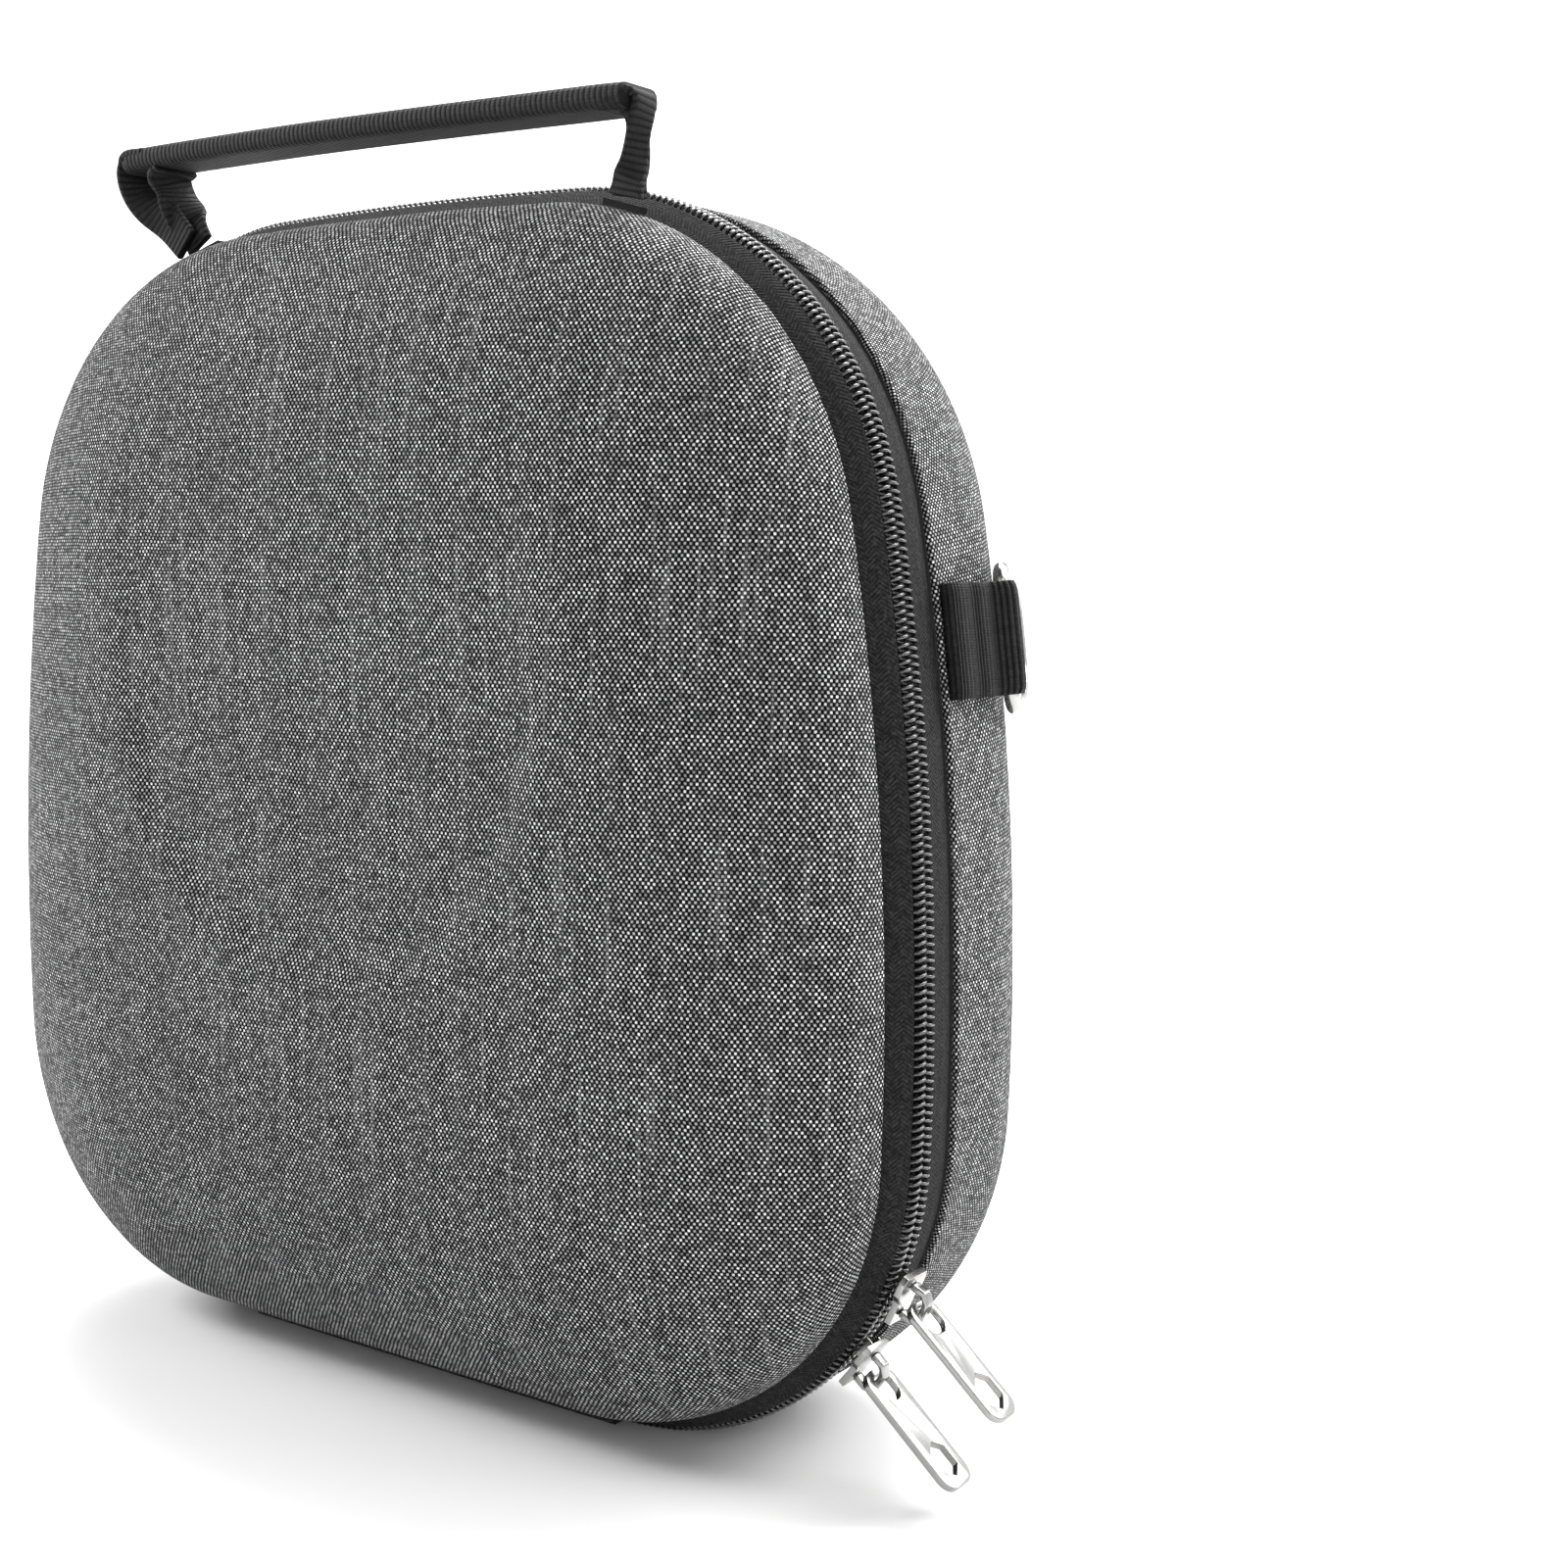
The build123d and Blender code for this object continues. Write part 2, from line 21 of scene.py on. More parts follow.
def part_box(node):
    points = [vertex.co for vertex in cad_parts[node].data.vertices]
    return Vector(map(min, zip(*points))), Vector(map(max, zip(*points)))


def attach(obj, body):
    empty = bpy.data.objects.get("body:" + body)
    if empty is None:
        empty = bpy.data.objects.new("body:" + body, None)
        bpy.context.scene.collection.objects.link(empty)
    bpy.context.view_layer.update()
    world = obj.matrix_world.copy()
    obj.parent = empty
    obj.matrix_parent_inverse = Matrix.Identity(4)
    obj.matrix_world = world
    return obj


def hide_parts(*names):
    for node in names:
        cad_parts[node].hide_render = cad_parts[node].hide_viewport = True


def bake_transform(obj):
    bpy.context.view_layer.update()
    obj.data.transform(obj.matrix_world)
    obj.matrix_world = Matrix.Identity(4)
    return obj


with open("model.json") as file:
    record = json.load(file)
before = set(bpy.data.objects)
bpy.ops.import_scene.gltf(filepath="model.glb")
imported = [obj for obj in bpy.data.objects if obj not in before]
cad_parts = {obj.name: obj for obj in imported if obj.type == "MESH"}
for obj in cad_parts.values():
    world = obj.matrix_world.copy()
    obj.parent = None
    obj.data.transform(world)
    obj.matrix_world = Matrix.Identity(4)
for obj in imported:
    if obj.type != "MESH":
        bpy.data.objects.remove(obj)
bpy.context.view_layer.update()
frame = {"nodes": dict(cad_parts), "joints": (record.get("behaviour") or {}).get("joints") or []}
MM = 0.001
TURN = 2 * math.pi
print("frame loaded:", len(frame["nodes"]), "nodes")

# %% [markdown]
# ## The outline
#
# The case's outline is seven arcs and one straight line: corner, side, shoulder, top, and the same again
# on the left. Arcs that meet tangentially can be worked out from the width, the height, the two corner
# radii and how far each arc turns, so the outline needs no list of points. A Bezier curve could be drawn
# by eye instead, but then the strips that follow it wouldn't agree with the hard parts.

# %% Outline
coil_low, coil_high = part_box("back_zip_coil")
case_width = coil_high[0] - coil_low[0]
case_height = coil_high[2]
bottom_corner = 66 * MM
top_corner = 73 * MM
corner_turn, side_turn, shoulder_turn = np.radians([88.0, 12.0, 78.0])


def outline_arcs():
    """Centre, radius, first angle and turn of each arc, from the straight bottom's right end to its left."""
    a = corner_turn
    b = a + side_turn
    c = b + shoulder_turn
    half = case_width / 2
    lean = (1 + math.cos(c)) / math.sin(c)
    shoulder_in = top_corner * (math.sin(b) - math.sin(c))
    rise = case_height - bottom_corner * (1 - math.cos(a)) - top_corner * (math.cos(b) - math.cos(c))
    side_r = (rise - lean * (half - shoulder_in)) / (math.cos(a) - math.cos(b) - lean * (1 - math.sin(b)))
    straight = half - bottom_corner * math.sin(a) - side_r * (1 - math.sin(a))
    top_r = (half - side_r * (1 - math.sin(b)) - shoulder_in) / math.sin(c)
    rising = [(bottom_corner, a), (side_r, side_turn), (top_corner, shoulder_turn)]
    arcs = []
    x, z, angle = straight, 0.0, -math.pi / 2
    for radius, turn in rising + [(top_r, TURN - 2 * c)] + rising[::-1]:
        cx, cz = x - radius * math.cos(angle), z - radius * math.sin(angle)
        arcs.append((cx, cz, radius, angle, turn))
        angle += turn
        x, z = cx + radius * math.cos(angle), cz + radius * math.sin(angle)
    return straight, arcs


straight_half, arcs = outline_arcs()
arc_lengths = np.array([radius * turn for _, _, radius, _, turn in arcs])
zip_length = float(arc_lengths.sum())
ring_length = zip_length + 2 * straight_half


def ridge(s):
    """Points on the zipper's ridge and the directions out of it, at distances s from the bottom's right end.

    Each distance falls on one arc; the angle there is the arc's first angle plus the distance along it over
    its radius. Distances past the last arc lie on the straight bottom, where the way out is straight down.
    """
    s = np.asarray(s, float)
    ends = np.cumsum(arc_lengths)
    which = np.minimum(np.searchsorted(ends, s, side="left"), len(arcs) - 1)
    table = np.array(arcs)[which]
    along = s - (ends - arc_lengths)[which]
    angle = table[:, 3] + along / table[:, 2]
    way = np.column_stack([np.cos(angle), np.sin(angle)])
    points = table[:, :2] + table[:, 2:3] * way
    past = s > zip_length
    points[past] = np.column_stack([s[past] - zip_length - straight_half, np.zeros(past.sum())])
    way[past] = (0.0, -1.0)
    return points, way


def stations(count, closed=True):
    """Evenly spaced distances round the whole outline, or along the zipper only."""
    if closed:
        return np.arange(count) * ring_length / count
    return np.linspace(0, zip_length, count)


print("outline", round(ring_length, 4), "m round,", round(zip_length, 4), "m of zipper")

# %% [markdown]
# ## Making meshes from grids of points
#
# Every piece here is a grid: one direction runs along the strip and the other round its cross-section.
# Four neighbouring points make a face. Working with whole arrays keeps this short and fast, and the same
# arrays give each corner its place on the cloth (the UV), in metres, so that a weave has its real size
# wherever the strip bends.

# %% Grid meshes
def points_inward(points, faces, closed):
    """Whether the faces look inwards, judged by volume for a closed piece and from the centre otherwise."""
    a, b, c, d = (points[faces[:, k]] for k in range(4))
    normal = np.cross(c - a, d - b)
    middle = (a + b + c + d) / 4
    if not closed:
        middle = middle - points.mean(axis=0)
    return (normal * middle).sum() < 0


def piece_from(name, points, faces, corner_uv, finish, body, extra=()):
    """A smooth-shaded object from points, four-sided faces and the UV of each face corner."""
    mesh = bpy.data.meshes.new(name)
    mesh.from_pydata(points.tolist(), [], faces.tolist() + [list(face) for face in extra])
    layer = mesh.uv_layers.new(name="cloth")
    uv = np.zeros((len(mesh.loops), 2))
    uv[: corner_uv.shape[0] * 4] = corner_uv.reshape(-1, 2)
    layer.data.foreach_set("uv", uv.ravel())
    mesh.polygons.foreach_set("use_smooth", [True] * len(mesh.polygons))
    mesh.materials.append(finish)
    mesh.update()
    piece = bpy.data.objects.new(name, mesh)
    bpy.context.scene.collection.objects.link(piece)
    if body:
        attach(piece, body)
    return piece


def grid_piece(name, points, uv, finish, body, wrap=(False, False)):
    """A piece from a grid of points.

    A wrapped direction joins its last row to its first, and uv then has one row more. Where only the
    cross-section wraps, both ends are closed with a flat face.
    """
    rows, cols = points.shape[:2]
    i, j = np.meshgrid(np.arange(rows - (not wrap[0])), np.arange(cols - (not wrap[1])), indexing="ij")
    corner_i = np.stack([i, i + 1, i + 1, i], axis=-1).reshape(-1, 4)
    corner_j = np.stack([j, j, j + 1, j + 1], axis=-1).reshape(-1, 4)
    faces = (corner_i % rows) * cols + corner_j % cols
    corner_uv = uv[corner_i, corner_j]
    flat = points.reshape(-1, 3)
    extra = []
    if wrap[1] and not wrap[0]:
        first = np.arange(cols)
        extra = [first.tolist(), (first + (rows - 1) * cols)[::-1].tolist()]
    if points_inward(flat, faces, closed=wrap[1]):
        faces, corner_uv = faces[:, ::-1], corner_uv[:, ::-1]
        extra = [face[::-1] for face in extra]
    return piece_from(name, flat, faces, corner_uv, finish, body, extra)


def rounded(corners, radius, steps=4):
    """Closed loop of points with each corner cut back by the radius and replaced by a short curve."""
    corners = np.array(corners, float)
    before = np.roll(corners, 1, axis=0) - corners
    after = np.roll(corners, -1, axis=0) - corners
    reach_b = np.minimum(radius, 0.45 * np.linalg.norm(before, axis=1))
    reach_a = np.minimum(radius, 0.45 * np.linalg.norm(after, axis=1))
    start = corners + before / np.linalg.norm(before, axis=1)[:, None] * reach_b[:, None]
    end = corners + after / np.linalg.norm(after, axis=1)[:, None] * reach_a[:, None]
    t = np.linspace(0, 1, steps)[None, :, None]
    curve = (1 - t) ** 2 * start[:, None] + 2 * t * (1 - t) * corners[:, None] + t**2 * end[:, None]
    return curve.reshape(-1, 2)


def loop_lengths(section):
    """Distance round a closed loop at each of its points and back at the first."""
    steps = np.linalg.norm(np.roll(section, -1, axis=0) - section, axis=1)
    return np.concatenate([[0.0], np.cumsum(steps)])


def carried(section, s):
    """Points of a cross-section, given as (inset from the ridge, y), carried to the distances s."""
    points, way = ridge(s)
    place = np.empty((len(s), len(section), 3))
    place[..., 0] = points[:, 0:1] - way[:, 0:1] * section[None, :, 0]
    place[..., 1] = section[None, :, 1]
    place[..., 2] = points[:, 1:2] - way[:, 1:2] * section[None, :, 0]
    return place


def band(name, section, finish, body, closed=False, count=560):
    """A strip round the case with one closed cross-section, either all the way or along the zipper only."""
    s = stations(count, closed)
    points = carried(section, s)
    along = np.append(s, ring_length) if closed else s
    across = loop_lengths(section)
    uv = np.stack(np.meshgrid(along, across, indexing="ij"), axis=-1)
    return grid_piece(name, points, uv, finish, body, wrap=(closed, True))


# %% [markdown]
# ## A small language for materials
#
# Shader nodes do arithmetic, but writing every node and link by hand hides the formula. This class wraps
# one output socket, so that `a * 2 + b` makes the Math nodes by itself. The formula then reads like the
# sum it is.

# %% Shader arithmetic
class Amount:
    """A number that the shader works out at each point, with ordinary arithmetic."""

    def __init__(self, finish, socket):
        self.finish = finish
        self.socket = socket

    def __add__(self, other):
        return self.finish.sum("ADD", self, other)

    def __radd__(self, other):
        return self.finish.sum("ADD", other, self)

    def __sub__(self, other):
        return self.finish.sum("SUBTRACT", self, other)

    def __rsub__(self, other):
        return self.finish.sum("SUBTRACT", other, self)

    def __mul__(self, other):
        return self.finish.sum("MULTIPLY", self, other)

    def __rmul__(self, other):
        return self.finish.sum("MULTIPLY", other, self)

    def __truediv__(self, other):
        return self.finish.sum("DIVIDE", self, other)

    def __mod__(self, other):
        return self.finish.sum("FLOORED_MODULO", self, other)

    def floor(self):
        return self.finish.sum("FLOOR", self)

    def fract(self):
        return self.finish.sum("FRACT", self)

    def abs(self):
        return self.finish.sum("ABSOLUTE", self)

    def power(self, other):
        return self.finish.sum("POWER", self, other)

    def over(self, other):
        """One where this is greater than the other, else nought."""
        return self.finish.sum("GREATER_THAN", self, other)

    def clamped(self):
        made = self.finish.sum("ADD", self, 0.0)
        made.socket.node.use_clamp = True
        return made


class Finish:
    """A material being put together round one Principled shader."""

    def __init__(self, name, **constants):
        self.data = bpy.data.materials.new(name)
        self.data.use_nodes = True
        self.tree = self.data.node_tree
        self.shader = self.tree.nodes["Principled BSDF"]
        for socket, value in constants.items():
            self.shader.inputs[socket.replace("_", " ")].default_value = value

    def node(self, kind, inputs=None, **settings):
        """Make a node, set it up, and link or fill its inputs."""
        made = self.tree.nodes.new(kind)
        for key, value in settings.items():
            setattr(made, key, value)
        for key, value in (inputs or {}).items():
            if isinstance(value, Amount):
                self.tree.links.new(value.socket, made.inputs[key])
            elif isinstance(value, bpy.types.NodeSocket):
                self.tree.links.new(value, made.inputs[key])
            else:
                made.inputs[key].default_value = value
        return made

    def sum(self, operation, *values):
        made = self.node("ShaderNodeMath", dict(enumerate(values)), operation=operation)
        return Amount(self, made.outputs[0])

    def cloth(self):
        """Place on the cloth in millimetres: along and across."""
        place = self.node("ShaderNodeUVMap", uv_map="cloth").outputs[0]
        split = self.node("ShaderNodeSeparateXYZ", {0: place})
        return Amount(self, split.outputs[0]) * 1000, Amount(self, split.outputs[1]) * 1000

    def vector(self, x, y=0.0, z=0.0):
        return self.node("ShaderNodeCombineXYZ", {0: x, 1: y, 2: z}).outputs[0]

    def place(self):
        """Place in the object, in metres."""
        return self.node("ShaderNodeTexCoord").outputs["Object"]

    def noise(self, vector, scale, detail=2.0, rough=0.5):
        made = self.node(
            "ShaderNodeTexNoise", {"Vector": vector, "Scale": scale, "Detail": detail, "Roughness": rough}
        )
        return Amount(self, made.outputs[0])

    def random(self, x, y=0.0):
        """A fixed random number for each pair of whole numbers."""
        made = self.node("ShaderNodeTexWhiteNoise", {"Vector": self.vector(x, y)}, noise_dimensions="2D")
        return Amount(self, made.outputs[0])

    def grey(self, amount, tint=(1.0, 1.0, 1.0)):
        """Colour of a brightness, scaled by a tint."""
        colour = self.vector(amount, amount, amount)
        return self.node("ShaderNodeVectorMath", {0: colour, 1: tint}, operation="MULTIPLY").outputs[0]

    def colour(self, value):
        self.link("Base Color", value)

    def link(self, name, value):
        socket = value.socket if isinstance(value, Amount) else value
        self.tree.links.new(socket, self.shader.inputs[name])

    def relief(self, height, depth, strength=1.0):
        """Raise the surface by height times depth, where depth is in metres."""
        made = self.node("ShaderNodeBump", {"Height": height, "Distance": depth, "Strength": strength})
        self.link("Normal", made.outputs[0])


def smooth(value):
    """Soft step of a value from 0 to 1."""
    held = value.clamped()
    return held * held * (3 - 2 * held)


# %% [markdown]
# ## Cloths
#
# A plain weave shows its two sets of threads in turn, like a chessboard. In the covers the crosswise
# threads are pale and the lengthwise ones nearly black, and each thread has its own shade that drifts
# along it, which is what makes a melange. The tape's herringbone is a twill whose slant changes sides in
# every stripe.

# %% Cloth finishes
def melange():
    """Plain weave of pale crosswise threads and dark lengthwise ones.

    A cell's light or dark side is the parity of its column plus its row. Across each thread the height is a
    parabola, so that every crossing is a small cushion.
    """
    made = Finish(
        "melange cloth", Roughness=0.9, Sheen_Weight=0.01, Sheen_Roughness=0.5, Specular_IOR_Level=0.04
    )
    across, up = made.cloth()
    wobble = made.noise(made.vector(across * 0.03, up * 0.3), 1.0, 3.0)
    column = (across + wobble * 0.9) / 0.53
    row = (up + made.noise(made.vector(across * 0.25, up * 0.02), 1.0, 3.0) * 0.5) / 0.68
    cell_x, cell_y = column.floor(), row.floor()
    pale_up = ((cell_x + cell_y) % 2.0).over(0.5)
    in_x = (column.fract() - 0.5).abs() * 2
    in_y = (row.fract() - 0.5).abs() * 2
    crown = (1 - in_y.power(2.4)) * (1 - in_x.power(4) * 0.55)
    sunk = (1 - in_x.power(2.4)) * (1 - in_y.power(4) * 0.55)
    pale_shade = made.noise(made.vector(across * 0.32, cell_y * 3.7), 1.0, 3.0, 0.6)
    own_shade = made.random(cell_x, 3.0)
    dark_shade = own_shade * 0.6 + made.noise(made.vector(cell_x * 3.1, up * 0.05), 1.0, 3.0) * 0.7
    speck = made.random(cell_x, cell_y)
    slub = smooth((made.noise(made.vector(across * 0.8, up * 0.022), 1.0, 2.0) - 0.58) * 7)
    pale = 0.04 + pale_shade * pale_shade * 0.80 + speck * speck * 0.42
    dark = 0.001 + dark_shade * dark_shade * 0.010 + slub * 0.07
    # The pale threads darken towards their edges by the crown, and the dark ones by sunk: painted shade
    # between the threads.
    lit = pale * (crown.power(1.6) * 1.02)
    streak = 0.72 + made.noise(made.vector(cell_x * 0.9, up * 0.012), 1.0, 2.0) * 0.5
    shade = (pale_up * lit + (1 - pale_up) * dark * (0.4 + sunk * 0.6)) * streak
    cloudy = made.noise(made.place(), 22.0, 2.0)
    made.colour(made.grey(shade * (0.86 + cloudy * 0.28), (1.0, 1.0, 1.01)))
    made.relief(pale_up * crown + (1 - pale_up) * sunk * 0.7, 0.00016, 0.8)
    return made.data


def herringbone():
    """Black tape: a twill that slants one way and then the other in stripes along its length."""
    made = Finish("black tape", Roughness=0.85, Sheen_Weight=0.01, Specular_IOR_Level=0.1)
    along, across = made.cloth()
    stripe = (across / 1.9).floor() % 2.0
    slant = across * (stripe * 2 - 1) * 0.9
    wale = ((along * 1.15 + slant) / 0.95).fract()
    rib = 1 - ((wale - 0.5).abs() * 2).power(2.0)
    thread = (across / 0.42).fract()
    fleck = made.random((along / 0.45).floor(), (across / 0.42).floor())
    pile = made.noise(made.place(), 1400.0, 2.0)
    # The colour follows the wale: crests lighter and grooves nearly black, which is painted shade in the
    # grooves; fleck and pile are the yarn's own random tone.
    shade = 0.002 + rib * (0.003 + fleck * 0.018) + (pile - 0.5).clamped() * 0.05
    made.colour(made.grey(shade))
    made.relief(rib * 0.8 + (thread - 0.5).abs() * 0.5 + pile * 0.3, 0.00022, 0.9)
    return made.data


def twill(name, low, high, pitch, depth=0.00018, rough=0.8):
    """Slanting ribs of one colour, with every thread a little different and painted shade between the ribs.
    """
    made = Finish(name, Roughness=rough, Sheen_Weight=0.03, Specular_IOR_Level=0.25)
    along, across = made.cloth()
    wale = ((along + across) / pitch).fract()
    rib = 1 - ((wale - 0.5).abs() * 2).power(2.0)
    fleck = made.random((along / pitch).floor(), (across / pitch * 1.3).floor())
    # Each rib is lighter on its crest than in its groove: painted shade between the ribs; fleck is each
    # thread's own random tone.
    made.colour(made.grey(low + (high - low) * (rib * 0.7 + fleck * 0.3)))
    made.relief(rib + fleck * 0.3, depth, 0.8)
    return made.data


def ribbed(name, low, high, pitch, depth, lengthwise=False, rough=0.7, weave=0.5):
    """Webbing with round ribs across it, or along it, and the fine threads that bind them."""
    made = Finish(name, Roughness=rough, Sheen_Weight=0.01, Specular_IOR_Level=0.12)
    along, across = made.cloth()
    if lengthwise:
        along, across = across, along
    rib = 1 - (((along / pitch).fract() - 0.5).abs() * 2).power(2.2)
    cell = (across / weave).floor()
    bind = ((across / weave).fract() - 0.5).abs() * 2
    fleck = made.random((along / pitch).floor(), cell)
    drift = made.noise(made.vector(along * 0.08, across * 0.8), 1.0, 3.0)
    # The ribs are lighter on their crowns and darker towards the binding threads: painted shade between the
    # ribs; fleck and drift are the webbing's own random tone.
    shade = low + (high - low) * (rib * (0.55 + fleck * 0.3) + drift * 0.25) * (1 - bind.power(3.0) * 0.35)
    made.colour(made.grey(shade))
    made.relief(rib + (1 - bind.power(3.0)) * 0.28, depth, 0.9)
    return made.data


def plush():
    """Short grey pile that lies this way and that."""
    made = Finish("grey plush", Roughness=0.95, Sheen_Weight=0.6, Sheen_Roughness=0.4, Specular_IOR_Level=0.2)
    lie = made.noise(made.place(), 60.0, 3.0, 0.6)
    pile = made.noise(made.place(), 1500.0, 3.0, 0.7)
    made.colour(made.grey(0.25 + lie * 0.16 + pile * 0.18))
    made.relief(pile + lie * 0.8, 0.0006, 0.5)
    return made.data


def foam():
    """Dense black moulding foam with a fine skin."""
    made = Finish("black foam", Roughness=0.85, Specular_IOR_Level=0.3)
    cell = made.noise(made.place(), 900.0, 3.0, 0.6)
    made.colour(made.grey(0.012 + cell * 0.02))
    made.relief(cell, 0.0003, 0.4)
    return made.data


def patch(name, low, high, pitch, depth):
    """Hook or loop tape: a dense field of tiny tufts."""
    made = Finish(name, Roughness=0.85, Sheen_Weight=0.3, Specular_IOR_Level=0.3)
    along, across = made.cloth()
    tuft = ((along / pitch).fract() - 0.5).abs() + ((across / pitch).fract() - 0.5).abs()
    fuzz = made.noise(made.place(), 1800.0, 2.0)
    # Each tuft is lighter in its middle and darker at its edges: painted shade between the tufts; fuzz is
    # random tone.
    made.colour(made.grey(low + (high - low) * ((1 - tuft) * 0.6 + fuzz * 0.5)))
    made.relief((1 - tuft) * 0.7 + fuzz * 0.6, depth, 0.9)
    return made.data


# %% [markdown]
# ## Nylon and metal
#
# Hard surfaces differ from cloth in how they shine. A little noise in the roughness stands for the wipe
# marks that keep a polished part from looking like a mirror.

# %% Hard finishes
def nylon():
    """Glossy black monofilament, slightly uneven."""
    made = Finish("black nylon", Roughness=0.22, Specular_IOR_Level=0.6, Coat_Weight=0.3)
    uneven = made.noise(made.place(), 700.0, 2.0)
    made.colour(made.grey(0.008 + uneven * 0.012))
    made.link("Roughness", 0.14 + uneven * 0.22)
    return made.data


def bright(name, tone, rough):
    """Polished plated metal: faint wipe marks in the polish and slightly darker patches."""
    made = Finish(name, Metallic=1.0)
    wipe = made.noise(made.place(), 260.0, 3.0, 0.6)
    cloud = made.noise(made.place(), 70.0, 2.0)
    made.colour(made.grey(tone * (0.92 + cloud * 0.12), (1.0, 0.995, 0.98)))
    made.link("Roughness", rough + wipe * 0.12)
    made.relief(wipe, 0.00002, 0.4)
    return made.data


cover_cloth = melange()
tape_cloth = herringbone()
hinge_cloth = twill("black hinge twill", 0.003, 0.032, 0.75)
binding_cloth = twill("pale binding weave", 0.42, 0.62, 0.6, 0.00012)
edging_cloth = ribbed("pale edging", 0.40, 0.62, 0.8, 0.00025)
webbing = ribbed("black webbing", 0.001, 0.022, 1.25, 0.0005)
elastic = ribbed("pale elastic", 0.50, 0.72, 1.1, 0.00022, lengthwise=True, weave=0.6)
hook_tape = patch("hook tape", 0.30, 0.55, 0.8, 0.0003)
loop_tape = patch("loop tape", 0.40, 0.65, 0.5, 0.0002)
lining_pile = plush()
core_foam = foam()
coil_nylon = nylon()
nickel = bright("polished nickel", 0.30, 0.16)
steel = bright("polished steel", 0.34, 0.15)
print("finishes", len(bpy.data.materials))

# %% [markdown]
# ## Hard parts and hidden layers that keep their own shape
#
# The foam cores, the linings and the metal ring already have the right shape, so they only get their
# finishes. The foam is hidden between cover and lining, but it shows if a half is cut open or its cover
# is taken off.

# %% Finishes for nodes that stay
def refinish(finish, *nodes):
    """Give nodes that keep their CAD shape a finish."""
    for node in nodes:
        for place in frame["nodes"][node].material_slots:
            place.material = finish


refinish(core_foam, "front_shell", "back_shell")
refinish(lining_pile, "front_lining", "back_lining")
refinish(steel, "d_ring")
refinish(webbing, "handle_end_left", "handle_end_right")
print("nodes kept as they are: 7")

# %% [markdown]
# ## Sliders and pulls
#
# Die-cast parts are tumbled before plating, so no edge is sharp, and it is the rounded edges that catch
# the light. The CAD shapes are right but have knife edges. A copy of each mesh, joined into clean flat
# faces and given a Bevel modifier, keeps the shape and rounds the edges.

# %% Softened metal
def softened(name, node, finish, body, width):
    """The node's own shape with flat faces joined up and every sharp edge rounded."""
    work = bmesh.new()
    work.from_mesh(frame["nodes"][node].data)
    bmesh.ops.remove_doubles(work, verts=work.verts, dist=1e-6)
    bmesh.ops.dissolve_limit(work, angle_limit=math.radians(3), verts=work.verts, edges=work.edges)
    mesh = bpy.data.meshes.new(name)
    work.to_mesh(mesh)
    work.free()
    mesh.materials.clear()
    mesh.materials.append(finish)
    mesh.polygons.foreach_set("use_smooth", [True] * len(mesh.polygons))
    made = bpy.data.objects.new(name, mesh)
    bpy.context.scene.collection.objects.link(made)
    bevel = made.modifiers.new("rounded edges", "BEVEL")
    bevel.width = width
    bevel.segments = 3
    bevel.limit_method = "ANGLE"
    bevel.angle_limit = math.radians(28)
    bevel.harden_normals = True
    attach(made, body)
    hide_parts(node)
    return made


for end in ("upper", "lower"):
    softened(end + "_slider_plate", end + "_slider_body", nickel, end + "_slider", 0.35 * MM)
    softened(end + "_slider_bail", end + "_slider_crown", nickel, end + "_slider", 0.4 * MM)
    softened(end + "_tab", end + "_pull", nickel, end + "_pull", 0.42 * MM)

# %% [markdown]
# ## Cloth covers
#
# A cover is one skin: folded rim, straight wall, rounded corner, crowned face and flat middle. The first
# part is a profile carried round the outline. The middle is the last ring shrunk step by step towards the
# centre, which keeps the rings evenly spaced and needs no special mesh for the flat part. The pressed
# arch on the front lowers whichever points lie inside it, with a soft slope.

# %% Covers
class Half:
    """Shape of one half's outer skin, for distances in from its rim."""

    def __init__(self, side, depth, inset, rim, wall, corner_r, field_r):
        self.side, self.depth, self.inset, self.rim, self.wall = side, depth, inset, rim, wall
        self.corner_r = corner_r
        self.field = min(bottom_corner, top_corner) - field_r
        width = self.field - inset
        rise = depth - rim - wall
        self.crown_r = (width**2 + rise**2 - 2 * width * corner_r) / (2 * (rise - corner_r))
        self.turn = math.acos((width - corner_r) / (self.crown_r - corner_r))

    def profile(self, fine):
        """(inset, depth) points from inside the folded rim to the flat middle, about fine metres apart."""
        o, rim, wall, r, big = self.inset, self.rim, self.wall, self.corner_r, self.crown_r
        fold = [(o + 1.5 * MM, rim + 0.5 * MM), (o + 0.9 * MM, rim + 0.1 * MM)]
        fold.append((o + 0.35 * MM, rim + 0.05 * MM))
        fold.append((o + 0.05 * MM, rim + 0.4 * MM))
        wall_y = np.linspace(rim + 0.9 * MM, rim + wall, max(2, int(wall / fine)))
        straight = [(o, y) for y in wall_y]
        a = np.linspace(0, self.turn, max(4, int(r * self.turn / fine)))[1:]
        corner = np.column_stack([o + r - r * np.cos(a), rim + wall + r * np.sin(a)])
        b = np.linspace(self.turn, math.pi / 2, max(4, int(big * (math.pi / 2 - self.turn) / fine)))[1:]
        crown = np.column_stack([self.field - big * np.cos(b), self.depth - big + big * np.sin(b)])
        return np.vstack([fold, straight, corner, crown])


cover_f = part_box("front_cover")
cover_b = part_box("back_cover")
front = Half(-1, -cover_f[0].y, 4.0 * MM, -cover_f[1].y, 1.2 * MM, 15 * MM, 8 * MM)
back = Half(1, cover_b[1].y, 0.4 * MM, cover_b[0].y, 13 * MM, 32 * MM, 14 * MM)
arch_half = 60 * MM
arch_foot = 84 * MM
arch_top = 214 * MM
arch_slope = 9.5 * MM
arch_depth = 2.6 * MM
foot_reach = 70 * MM
foot_lift = 1.0 * MM


